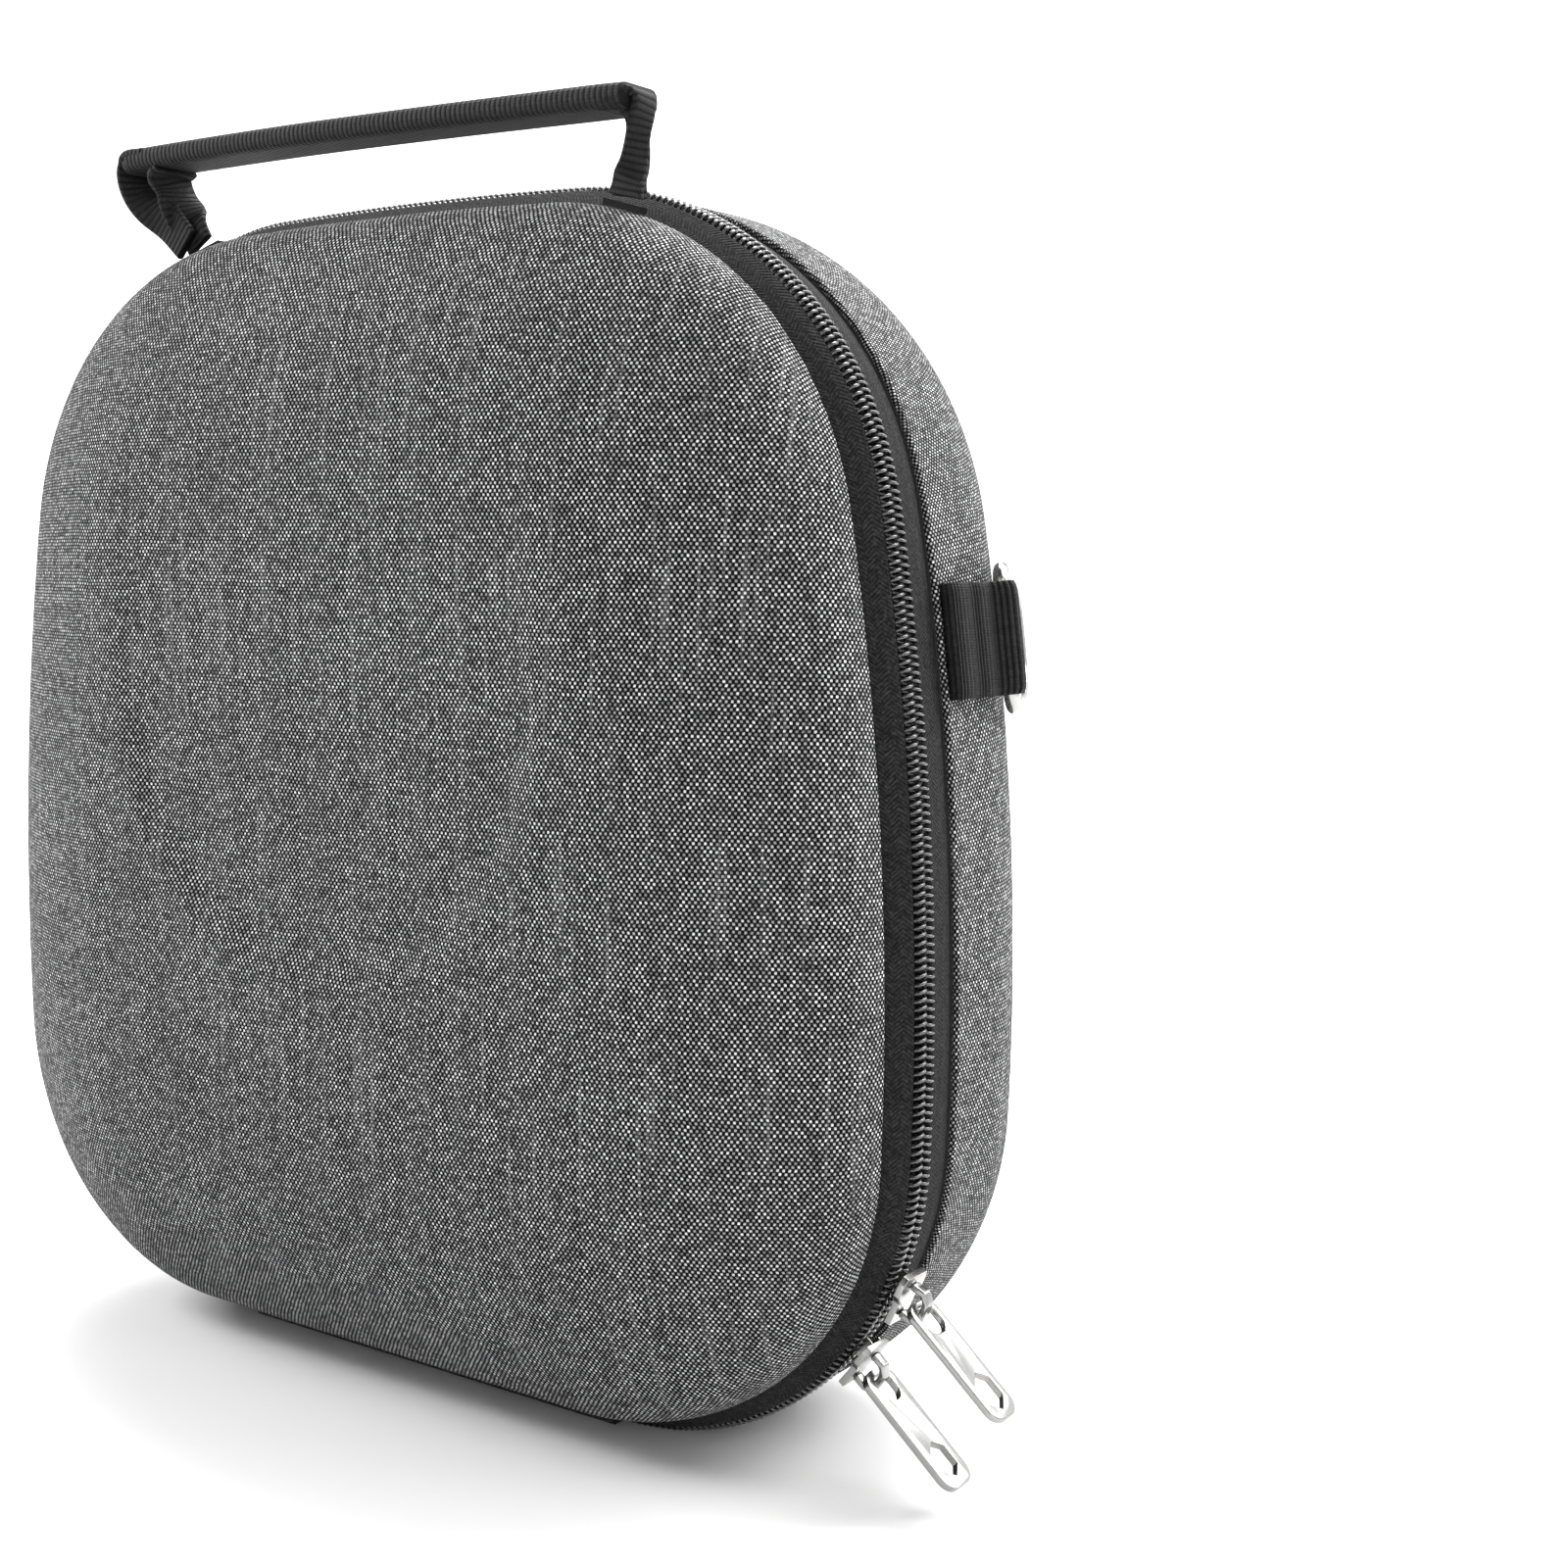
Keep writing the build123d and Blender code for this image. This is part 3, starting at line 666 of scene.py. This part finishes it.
def pressed_arch(x, z):
    """How far the face is pressed in: a soft step across the arch's edge, fading towards its top."""
    middle = arch_foot + arch_half
    reach = np.where(z < middle, np.hypot(x, z - middle), np.abs(x))
    step = np.clip((arch_half - reach) / arch_slope, 0, 1)
    fade = np.clip((arch_top - z) / (arch_top - arch_foot - arch_slope), 0, 1)
    return arch_depth * step * step * (3 - 2 * step) * fade


def cover(name, half, body, pressed, count=600, fine=1.5 * MM, rings=30):
    """The cloth skin of one half, with its place on the flat cloth as UV.

    The cloth lies true over the middle. Outside it, a point's place is pushed out by how much longer the way
    over the skin is than the straight way, so the weave keeps its size over the rounded edge.
    """
    profile = half.profile(fine)
    s = stations(count)
    _, way = ridge(s)
    steps = np.linalg.norm(np.diff(profile, axis=0), axis=1)
    length = np.concatenate([[0], np.cumsum(steps)])
    slack = (length[-1] - length) - (half.field - profile[:, 0])
    skin = carried(profile, s)
    cloth = skin[..., [0, 2]] + way[:, None, :] * slack[None, :, None]
    edge = skin[:, -1, :]
    centre = np.array([0.0, 0.0, edge[:, 2].min() / 2 + edge[:, 2].max() / 2])
    keep = (1 - (np.arange(1, rings + 1) / rings) * 0.9985)[None, :, None]
    flat = np.empty((count, rings, 3))
    flat[..., [0, 2]] = centre[[0, 2]] + (edge[:, None, [0, 2]] - centre[[0, 2]]) * keep
    flat[..., 1] = half.depth
    points = np.concatenate([skin, flat], axis=1)
    cloth = np.concatenate([cloth, flat[..., [0, 2]]], axis=1)
    if pressed:
        points[..., 1] -= pressed_arch(points[..., 0], points[..., 2])
        low = np.clip(1 - points[..., 2] / foot_reach, 0, 1)
        points[..., 2] += foot_lift * low * low
    points[..., 1] *= half.side
    cloth = np.concatenate([cloth, cloth[:1]], axis=0)
    return grid_piece(name, points, cloth, cover_cloth, body, wrap=(True, False))


front_cloth = cover("front_cloth", front, "front_half", pressed=True)
back_cloth = cover("back_cloth", back, "back_half", pressed=False)
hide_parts("front_cover")
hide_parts("back_cover")
for made in (front_cloth, back_cloth):
    print(made.name, len(made.data.polygons), "faces")

# %% [markdown]
# ## Zipper
#
# A coil zipper is one nylon thread wound into a spring along each tape's edge. Each half's spring is
# wound about an oval and shifted by half a turn from the other, so that the loops lie between each other
# along the middle. The spring is a tube: a small circle carried along the winding line.

# %% Tapes
coil_reach = 2.9 * MM
tape_thick = 1.1 * MM
tuck = 1.4 * MM


def tape_inset(half, y):
    """The tape's distance in from the ridge: a straight slope from the coil to the tuck behind the cloth."""
    start = 0.92 * MM
    end = half.inset + tuck
    return start + (end - start) * (y - coil_reach) / (half.rim - coil_reach)


def tape(name, half, body):
    """Tape from under the coil, over the sloping side and down behind the cloth's folded edge."""
    edge = half.rim - 0.3 * MM
    mid = (coil_reach + edge) / 2
    outer = [(2.5 * MM, 0.25 * MM), (2.35 * MM, 2.2 * MM)]
    outer += [(tape_inset(half, coil_reach), coil_reach + 0.3 * MM)]
    outer += [(tape_inset(half, mid) - 0.25 * MM, mid), (tape_inset(half, edge), edge)]
    inner = [(o + tape_thick, y) for o, y in outer[::-1]]
    section = rounded(outer + inner, 0.45 * MM) * (1, half.side)
    return band(name, section, tape_cloth, body)


coil_pitch = 1.45 * MM
wire_r = 0.34 * MM
coil_section = (1.05 * MM, 1.38 * MM)
coil_middle = (1.15 * MM, 1.42 * MM)


def coil(name, half, body, shift, per_turn=12, around=5):
    """One winding line, oval across the tape and advancing by the pitch each turn, made into a tube.

    The tube's circle lies across the winding line: its two directions are the oval's own way out and the
    cross product of that with the line's heading.
    """
    turns = int(zip_length / coil_pitch) - 2
    t = np.linspace(0, turns * TURN, turns * per_turn)
    s = (t / TURN + 0.7 + shift) * coil_pitch
    base, way = ridge(s)
    o = coil_middle[0] + coil_section[0] * np.sin(t)
    y = (coil_middle[1] - coil_section[1] * np.cos(t)) * half.side
    line = np.column_stack([base[:, 0] - way[:, 0] * o, y, base[:, 1] - way[:, 1] * o])
    heading = np.gradient(line, axis=0)
    heading /= np.linalg.norm(heading, axis=1)[:, None]
    out = np.column_stack([-way[:, 0] * np.sin(t), -np.cos(t) * half.side, -way[:, 1] * np.sin(t)])
    out -= heading * (out * heading).sum(axis=1)[:, None]
    out /= np.linalg.norm(out, axis=1)[:, None]
    side = np.cross(heading, out)
    turn = np.arange(around) * TURN / around
    ring = np.cos(turn)[None, :, None] * out[:, None] + np.sin(turn)[None, :, None] * side[:, None]
    points = line[:, None] + ring * wire_r
    uv = np.stack(np.meshgrid(s, np.arange(around + 1) * wire_r, indexing="ij"), axis=-1)
    return grid_piece(name, points, uv, coil_nylon, body, wrap=(False, True))


for word, half, shift in (("front", front, 0.0), ("back", back, 0.5)):
    body = word + "_half"
    made = tape(word + "_tape", half, body)
    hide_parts(word + "_zip_tape")
    made = coil(word + "_coil", half, body, shift)
    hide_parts(word + "_zip_coil")
    print(word, "coil", len(made.data.polygons), "faces")

# %% [markdown]
# ## Binding and edging
#
# Inside, a woven binding hides the tape's edge and turns over the foam's rim, and a ribbed edging
# finishes it over the lining. Both follow the whole outline, so both are bands with a rounded section.

# %% Inner trim
skin_depth = 6.7 * MM


def offset_profile(half, depth, y_from, y_to, steps=14):
    """Points on the surface that lies depth inside the outer skin, between two distances from the zipper."""
    foot = half.rim + half.wall
    y = np.linspace(y_from, y_to, steps)
    r = half.corner_r - depth
    lift = np.clip((y - foot) / r, 0, 1)
    return np.column_stack([half.inset + half.corner_r - r * np.sqrt(1 - lift**2), y])


def trim(name, half, body, y_from, y_to, thick, finish, lip=None):
    """A band on the lining, from the rim's lip where there is one, with both faces following the lining."""
    outer = offset_profile(half, skin_depth, y_from, y_to)
    inner = offset_profile(half, skin_depth + thick, y_from, y_to)[::-1]
    if lip is not None:
        outer = np.vstack([lip, outer])
        inner = np.vstack([inner, lip + (thick * 1.3, thick * 0.1)])
    section = rounded(np.vstack([outer, inner]), thick * 0.4, 3) * (1, half.side)
    return band(name, section, finish, body, closed=True, count=480)


for word, half, end_node in (("front", front, "front_binding"), ("back", back, "back_binding")):
    body = word + "_half"
    low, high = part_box(end_node)
    end = -low.y if half.side < 0 else high.y
    lip_y = coil_reach + 0.75 * MM
    lip = np.array([[tape_inset(half, lip_y) + 1.9 * MM, lip_y]])
    made = trim(word + "_band", half, body, half.rim - 0.4 * MM, end, 1 * MM, binding_cloth, lip)
    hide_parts(end_node)
    low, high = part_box(word + "_edging")
    near, far = (-high.y, -low.y) if half.side < 0 else (low.y, high.y)
    made = trim(word + "_ribbed_edge", half, body, near, far, 0.9 * MM, edging_cloth)
    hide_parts(word + "_edging")

# %% [markdown]
# ## Fabric hinge
#
# A strip of twill joins the halves along the straight bottom. When the lid opens, its front edge goes
# with the lid and its back edge stays. The strip belongs to neither half, and it has many points across
# so that a bend in it can look round.

# %% Hinge strip
def hinge_strip(name, finish):
    """Closed section across the bottom, with many points between the seams, carried along the straight."""
    low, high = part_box("hinge_spine")
    thick = 1.2 * MM
    flat_front, flat_back = 5.2 * MM, 8.4 * MM
    corners = [(front.inset + tuck, low.y), (0, -flat_front), (0, flat_back), (back.inset + tuck, high.y)]
    outer = np.vstack([np.linspace(a, b, 8)[:-1] for a, b in zip(corners, corners[1:])] + [corners[-1:]])
    section = np.vstack([outer, (outer + (thick, 0))[::-1]])
    x = np.linspace(low.x, high.x, 90)
    points = np.empty((len(x), len(section), 3))
    points[..., 0] = x[:, None]
    points[..., 1] = section[None, :, 1]
    points[..., 2] = section[None, :, 0]
    uv = np.stack(np.meshgrid(x, loop_lengths(section), indexing="ij"), axis=-1)
    return grid_piece(name, points, uv, finish, None, wrap=(False, True))


spine = hinge_strip("hinge_twill", hinge_cloth)
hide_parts("hinge_spine")
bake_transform(spine)
print("hinge strip", len(spine.data.polygons), "faces")

# %% [markdown]
# ## Webbing
#
# Straps are ribbons: a centre line, a direction across the width at each point, and a thickness. A smooth
# curve through a few points gives the line, and the same curve through a few directions turns the ribbon
# as it goes.

# %% Ribbons
def smooth_line(points, count):
    """Evenly parted points on the curve that passes through the given points (a Catmull-Rom spline)."""
    points = np.array(points, float)
    padded = np.vstack([2 * points[0] - points[1], points, 2 * points[-1] - points[-2]])
    t = np.linspace(0, len(points) - 1 - 1e-9, count)
    k = t.astype(int)
    f = (t - k)[:, None]
    p0, p1, p2, p3 = (padded[k + n] for n in range(4))
    squared = 2 * p0 - 5 * p1 + 4 * p2 - p3
    cubed = 3 * p1 - p0 - 3 * p2 + p3
    return 0.5 * (2 * p1 + (p2 - p0) * f + squared * f**2 + cubed * f**3)


def ribbon(name, line, across, widths, thick, finish, body, count=120, round_edge=0.45):
    """A strap along a line, given its points, its directions across and its widths there."""
    centre = smooth_line(line, count)
    wide = smooth_line(across, count)
    width = smooth_line(np.array(widths, float)[:, None], count)
    heading = np.gradient(centre, axis=0)
    heading /= np.linalg.norm(heading, axis=1)[:, None]
    wide -= heading * (wide * heading).sum(axis=1)[:, None]
    wide /= np.linalg.norm(wide, axis=1)[:, None]
    up = np.cross(heading, wide)
    unit = [(-1, -1), (1, -1), (1, 1), (-1, 1)]
    half_thick = thick / 2
    rows = []
    for w in width[:, 0] / 2:
        corners = [(a * w, b * half_thick) for a, b in unit]
        rows.append(rounded(corners, thick * round_edge, 4))
    section = np.array(rows)
    points = centre[:, None] + wide[:, None] * section[..., 0:1] + up[:, None] * section[..., 1:2]
    along = np.concatenate([[0], np.cumsum(np.linalg.norm(np.diff(centre, axis=0), axis=1))])
    uv = np.stack(np.meshgrid(along, loop_lengths(rows[0]), indexing="ij"), axis=-1)
    return grid_piece(name, points, uv, finish, body, wrap=(False, True))


def mm(*points):
    """Points given in millimetres, as tuples in metres."""
    return [tuple(v * MM for v in p) for p in points]


# %% [markdown]
# ## Handle
#
# The grip is one flat ribbon. Each end has an outer and an inner leg, which turn from lying flat in depth
# at the grip to lying along the seam at the foot. The grip swings with the handle; the feet are sewn to
# the lid, and the legs are not attached to either.

# %% Handle
grip_y = -8.9
leg_spread = 0.9
grip_thick = 4.4 * MM
leg_thick = 1.6 * MM
out_y = grip_y - leg_spread
in_y = grip_y + leg_spread
grip_line = mm(
    (-76.5, grip_y, 252.6),
    (-70, grip_y, 253.2),
    (-30, grip_y, 253.4),
    (10, grip_y, 253.0),
    (50, grip_y, 252.3),
    (59.5, grip_y, 252.2),
)
grip_widths = [w * MM for w in (11.8, 12.6, 12.6, 12.6, 12.6, 11.2)]
in_depth = (0, 1, 0)
flat_across = [in_depth] * len(grip_line)
grip = ribbon("handle_grip", grip_line, flat_across, grip_widths, grip_thick, webbing, "handle", count=150)
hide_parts("handle")
left_out = mm(
    (-70, grip_y, 254.4),
    (-75.6, grip_y, 254.2),
    (-77.4, grip_y, 251.6),
    (-74.0, out_y, 246.0),
    (-68.0, out_y, 240.4),
    (-62.0, out_y, 235.0),
)
left_in = mm(
    (-66, grip_y, 251.0),
    (-68.0, grip_y, 249.6),
    (-67.2, in_y, 246.0),
    (-64.4, in_y, 241.5),
    (-61.8, in_y, 238.0),
    (-60.0, in_y, 235.0),
)
right_out = mm(
    (54, grip_y, 253.4),
    (58.6, grip_y, 253.4),
    (60.8, grip_y, 251.6),
    (60.4, out_y, 246.5),
    (59.2, out_y, 241.0),
    (58.0, out_y, 237.4),
    (57.4, out_y, 235.0),
)
right_in = mm(
    (54, grip_y, 250.6),
    (57.4, grip_y, 250.4),
    (59.0, grip_y, 248.0),
    (58.6, in_y, 243.0),
    (57.4, in_y, 238.8),
    (56.8, in_y, 235.2),
)
left_seam, right_seam = (0.91, 0, 0.41), (0.91, 0, -0.41)
left_half, right_half = (0.6, 0.75, 0.2), (0.6, 0.75, -0.2)
left_turns = [in_depth] * 3 + [left_half] + [left_seam] * 2
right_out_turns = [in_depth] * 3 + [right_half] * 2 + [right_seam] * 2
right_in_turns = [in_depth] * 3 + [right_half] + [right_seam] * 2
legs = {
    "handle_leg_left_outer": (left_out, left_turns, (12.5, 12.5, 12.0, 10.5, 8.5, 7.5)),
    "handle_leg_left_inner": (left_in, left_turns, (11.0, 11.5, 10.5, 9.0, 8.0, 7.5)),
    "handle_leg_right_outer": (right_out, right_out_turns, (10.5, 9.0, 5.8, 4.6, 5.2, 7.0, 8.0)),
    "handle_leg_right_inner": (right_in, right_in_turns, (9.5, 7.5, 5.0, 4.8, 6.6, 7.8)),
}
for name, (line, across, widths) in legs.items():
    made = ribbon(name, line, across, [w * MM for w in widths], leg_thick, webbing, None, count=60)
    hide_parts("handle")
    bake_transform(made)
print("handle pieces", 1 + len(legs))

# %% [markdown]
# ## Side loop
#
# The ring's loop is one strip of ribbed webbing, sewn under the tape, folded round the ring and sewn
# back. Its section is a flat doubled strap that swells into a round fold at the ring, with the ribs
# carved in as a fine wave. The section runs in depth, and the loop's width runs up the side.

# %% Ring loop
def ring_loop(name, finish):
    """Outer line of the doubled strap and its fold, waved for the ribs and extruded up the side."""
    low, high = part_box("d_ring_loop")
    joint = next(j for j in frame["joints"] if j["name"] == "d_ring_swing")
    axis = np.array(joint["pos_m"])
    lean = math.atan2(joint["axis"][0], -joint["axis"][2])
    out = np.array([math.cos(lean), 0, math.sin(lean)])
    up = np.array([-math.sin(lean), 0, math.cos(lean)])
    fold_r = high.y - axis[1]
    thick = 2.7 * MM
    half_width = 10.5 * MM
    rib_pitch = 1.3 * MM
    rib_depth = 0.16 * MM
    start = low.y + 0.1 * MM
    flat_end = axis[1] - fold_r * 1.25
    y_out = np.linspace(start, flat_end, 60)
    top = np.column_stack([thick + 0 * y_out, y_out])
    blend_y = np.linspace(flat_end, axis[1], 16)[1:-1]
    swell = (blend_y - flat_end) / (axis[1] - flat_end)
    soft = swell * swell * (3 - 2 * swell)
    rise = np.column_stack([thick + (2 * fold_r - thick) * soft, blend_y])
    angle = np.linspace(math.pi / 2, -math.pi / 2, 22)
    fold = np.column_stack([fold_r + fold_r * np.sin(angle), axis[1] + fold_r * np.cos(angle)])
    line = np.vstack([top, rise, fold])
    length = np.concatenate([[0], np.cumsum(np.linalg.norm(np.diff(line, axis=0), axis=1))])
    slope = np.gradient(line, axis=0)
    slope /= np.linalg.norm(slope, axis=1)[:, None]
    away = np.column_stack([slope[:, 1], -slope[:, 0]])
    wave = rib_depth * (np.sin(length / rib_pitch * TURN) - 1)
    line = line + away * wave[:, None]
    under = np.array([(0, axis[1]), (0, (start + axis[1]) / 2), (0, start)])
    section = np.vstack([line, under])
    heights = np.linspace(-1, 1, 26) * half_width
    edge = 1 - np.clip(np.abs(heights) / half_width, 0, 1) ** 10 * 0.12
    root = axis - out * fold_r
    x = section[None, :, 0] * edge[:, None]
    points = root + out * x[..., None] + up * heights[:, None, None]
    points[..., 1] = section[None, :, 1]
    uv = np.stack(np.meshgrid(heights, loop_lengths(section), indexing="ij"), axis=-1)
    return grid_piece(name, points, uv[..., ::-1], finish, "back_half", wrap=(False, True))


loop = ring_loop("ring_loop", webbing)
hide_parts("d_ring_loop")

# %% [markdown]
# ## Elastic strap
#
# The strap inside is ribbed elastic in two halves that lap over each other. Each half, sewn end and patch
# is a flat ribbon as large as its node's box and a tenth thinner. The left half also has two sewn
# rectangles of pale thread.

# %% Strap halves and patches
def strap_piece(name, node, finish, body, thick_share=0.9):
    """A ribbon as large as the node's box, running across the case."""
    low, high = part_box(node)
    y = (low.y + high.y) / 2
    z = (low.z + high.z) / 2
    line = [(low.x, y, z), ((low.x + high.x) / 2, y, z), (high.x, y, z)]
    width = high.z - low.z
    thick = (high.y - low.y) * thick_share
    made = ribbon(name, line, [(0, 0, 1)] * 3, [width] * 3, thick, finish, body, count=60)
    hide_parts(node)
    return made


for side in ("left", "right"):
    strap_piece("elastic_" + side, "strap_" + side, elastic, "strap_" + side)
    strap_piece("elastic_end_" + side, "strap_anchor_" + side, elastic, "back_half")
strap_piece("hooks", "hook_patch", hook_tape, "strap_left")
strap_piece("loops", "loop_patch", loop_tape, "strap_right")


def stitch_box(name, low, high, y, body, pitch=2.6 * MM):
    """A sewn rectangle of short raised threads, each a small flattened capsule, in one mesh."""
    corners = np.array([(low[0], low[1]), (high[0], low[1]), (high[0], high[1]), (low[0], high[1])])
    around = 6
    points, faces = [], []
    for a, b in zip(corners, np.roll(corners, -1, axis=0)):
        run = np.linalg.norm(b - a)
        number = max(2, int(run / pitch))
        heading = (b - a) / run
        side = np.array([-heading[1], heading[0]])
        for k in range(number):
            middle = a + (b - a) * (k + 0.5) / number
            half = run / number * 0.36
            rings = [(-half, 0.05), (-half * 0.6, 0.28), (half * 0.6, 0.28), (half, 0.05)]
            start = len(points)
            for reach, r in rings:
                for turn in np.arange(around) * TURN / around:
                    flat = middle + heading * reach + side * r * MM * math.cos(turn)
                    points.append((flat[0], y + r * MM * 0.7 * math.sin(turn), flat[1]))
            for i in range(len(rings) - 1):
                near = start + i * around
                far = near + around
                for j in range(around):
                    n = (j + 1) % around
                    faces.append([near + j, near + n, far + n, far + j])
    uv = np.zeros((len(faces), 4, 2))
    made = piece_from(name, np.array(points), np.array(faces), uv, thread, body)
    return made


thread = twill("pale thread", 0.55, 0.75, 0.4, 0.00005)
left_low, left_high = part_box("strap_left")
stitch_y = left_low.y - 0.05 * MM
sewn_spans = [(left_high.x - 21 * MM, left_high.x - 2.5 * MM), (left_low.x + 1 * MM, left_low.x + 6 * MM)]
for number, (x0, x1) in enumerate(sewn_spans):
    corner_low, corner_high = (x0, left_low.z + 3 * MM), (x1, left_high.z - 3 * MM)
    stitch_box(f"elastic_stitches_{number}", corner_low, corner_high, stitch_y, "strap_left")

# %% [markdown]
# ## Floor and light
#
# A pale round floor curves up into a wall all the way round. The key light comes from the upper left.
# Strong lights behind brighten the wall and the floor, weaker ones from the front, the right and the back
# right draw the zipper's edge and the metal, and the sky adds a faint even light.

# %% Floor
def backdrop():
    """Round floor and wall: a profile of flat, quarter circle and upright, turned about the vertical."""
    reach, height, bend = 3.0, 2.6, 0.8
    around = 72
    turn = np.linspace(0, math.pi / 2, 14)
    radius = np.concatenate([[0.001, 0.8], reach - bend + bend * np.sin(turn), [reach]])
    z = np.concatenate([[0, 0], bend - bend * np.cos(turn), [height]])
    way = np.arange(around) * TURN / around
    points = np.empty((around, len(radius), 3))
    points[..., 0] = radius[None] * np.cos(way)[:, None]
    points[..., 1] = radius[None] * np.sin(way)[:, None]
    points[..., 2] = z[None] - 0.0002
    made = Finish("studio floor", Roughness=0.9)
    made.colour(made.grey(0.62 + made.noise(made.place(), 3.0) * 0.02))
    uv = np.zeros((around + 1, len(radius), 2))
    piece = grid_piece("floor", points, uv, made.data, None, wrap=(True, False))


backdrop()


def lamp(name, place, aim, size, power):
    """A rectangular light of a size and power, turned to face the aim."""
    light = bpy.data.lights.new(name, "AREA")
    light.shape = "RECTANGLE"
    light.size, light.size_y = size
    light.energy = power
    made = bpy.data.objects.new(name, light)
    made.location = place
    made.rotation_euler = (Vector(aim) - Vector(place)).to_track_quat("-Z", "Y").to_euler()
    bpy.context.scene.collection.objects.link(made)


middle = (0, 0, 0.12)
lamp("key", (-1.15, -0.55, 1.05), middle, (0.7, 0.7), 34)
lamp("front", (0.4, -1.5, 0.6), middle, (0.8, 0.8), 2.5)
lamp("fill", (1.1, -0.5, 0.5), middle, (0.35, 0.9), 3)
lamp("rim", (0.9, 1.0, 1.0), middle, (0.6, 0.9), 16)
lamp("back", (-0.6, 1.0, 1.9), (-0.5, 1.5, 0.3), (2.0, 1.5), 170)
lamp("near_floor", (0.9, 0.5, 1.4), (0.6, 0.1, 0), (1.8, 1.6), 42)
world = bpy.data.worlds.new("studio sky")
world.use_nodes = True
world.node_tree.nodes["Background"].inputs[0].default_value = (1.0, 1.0, 1.0, 1)
world.node_tree.nodes["Background"].inputs[1].default_value = 0.12
bpy.context.scene.world = world
bpy.context.scene.view_settings.view_transform = "Standard"
print("lights", len(bpy.data.lights))

# %% [markdown]
# ## Camera
#
# The camera stands in front and to the right, so that the face, the zipper and one side show together.
# Its turn is built from three plain angles: yaw about the vertical, dip below the horizon and a slight
# roll.

# %% Camera
sensor_width = 36
focal_length = 47.64375
camera_yaw = math.radians(34.285)
camera_place = (0.29878, -0.31119, 0.17195)
camera_dip = math.radians(6.472)
camera_roll = math.radians(0.566)
lens = bpy.data.cameras.new("camera")
lens.sensor_width = sensor_width
lens.lens = focal_length
camera = bpy.data.objects.new("camera", lens)
level_view = Euler((math.pi / 2 - camera_dip, 0, camera_yaw), "XYZ").to_matrix()
turned_view = level_view @ Matrix.Rotation(camera_roll, 3, "Z")
camera.matrix_world = Matrix.Translation(camera_place) @ turned_view.to_4x4()
bpy.context.scene.collection.objects.link(camera)
bpy.context.scene.camera = camera
lens.clip_start = 0.01
print("camera", camera_place)
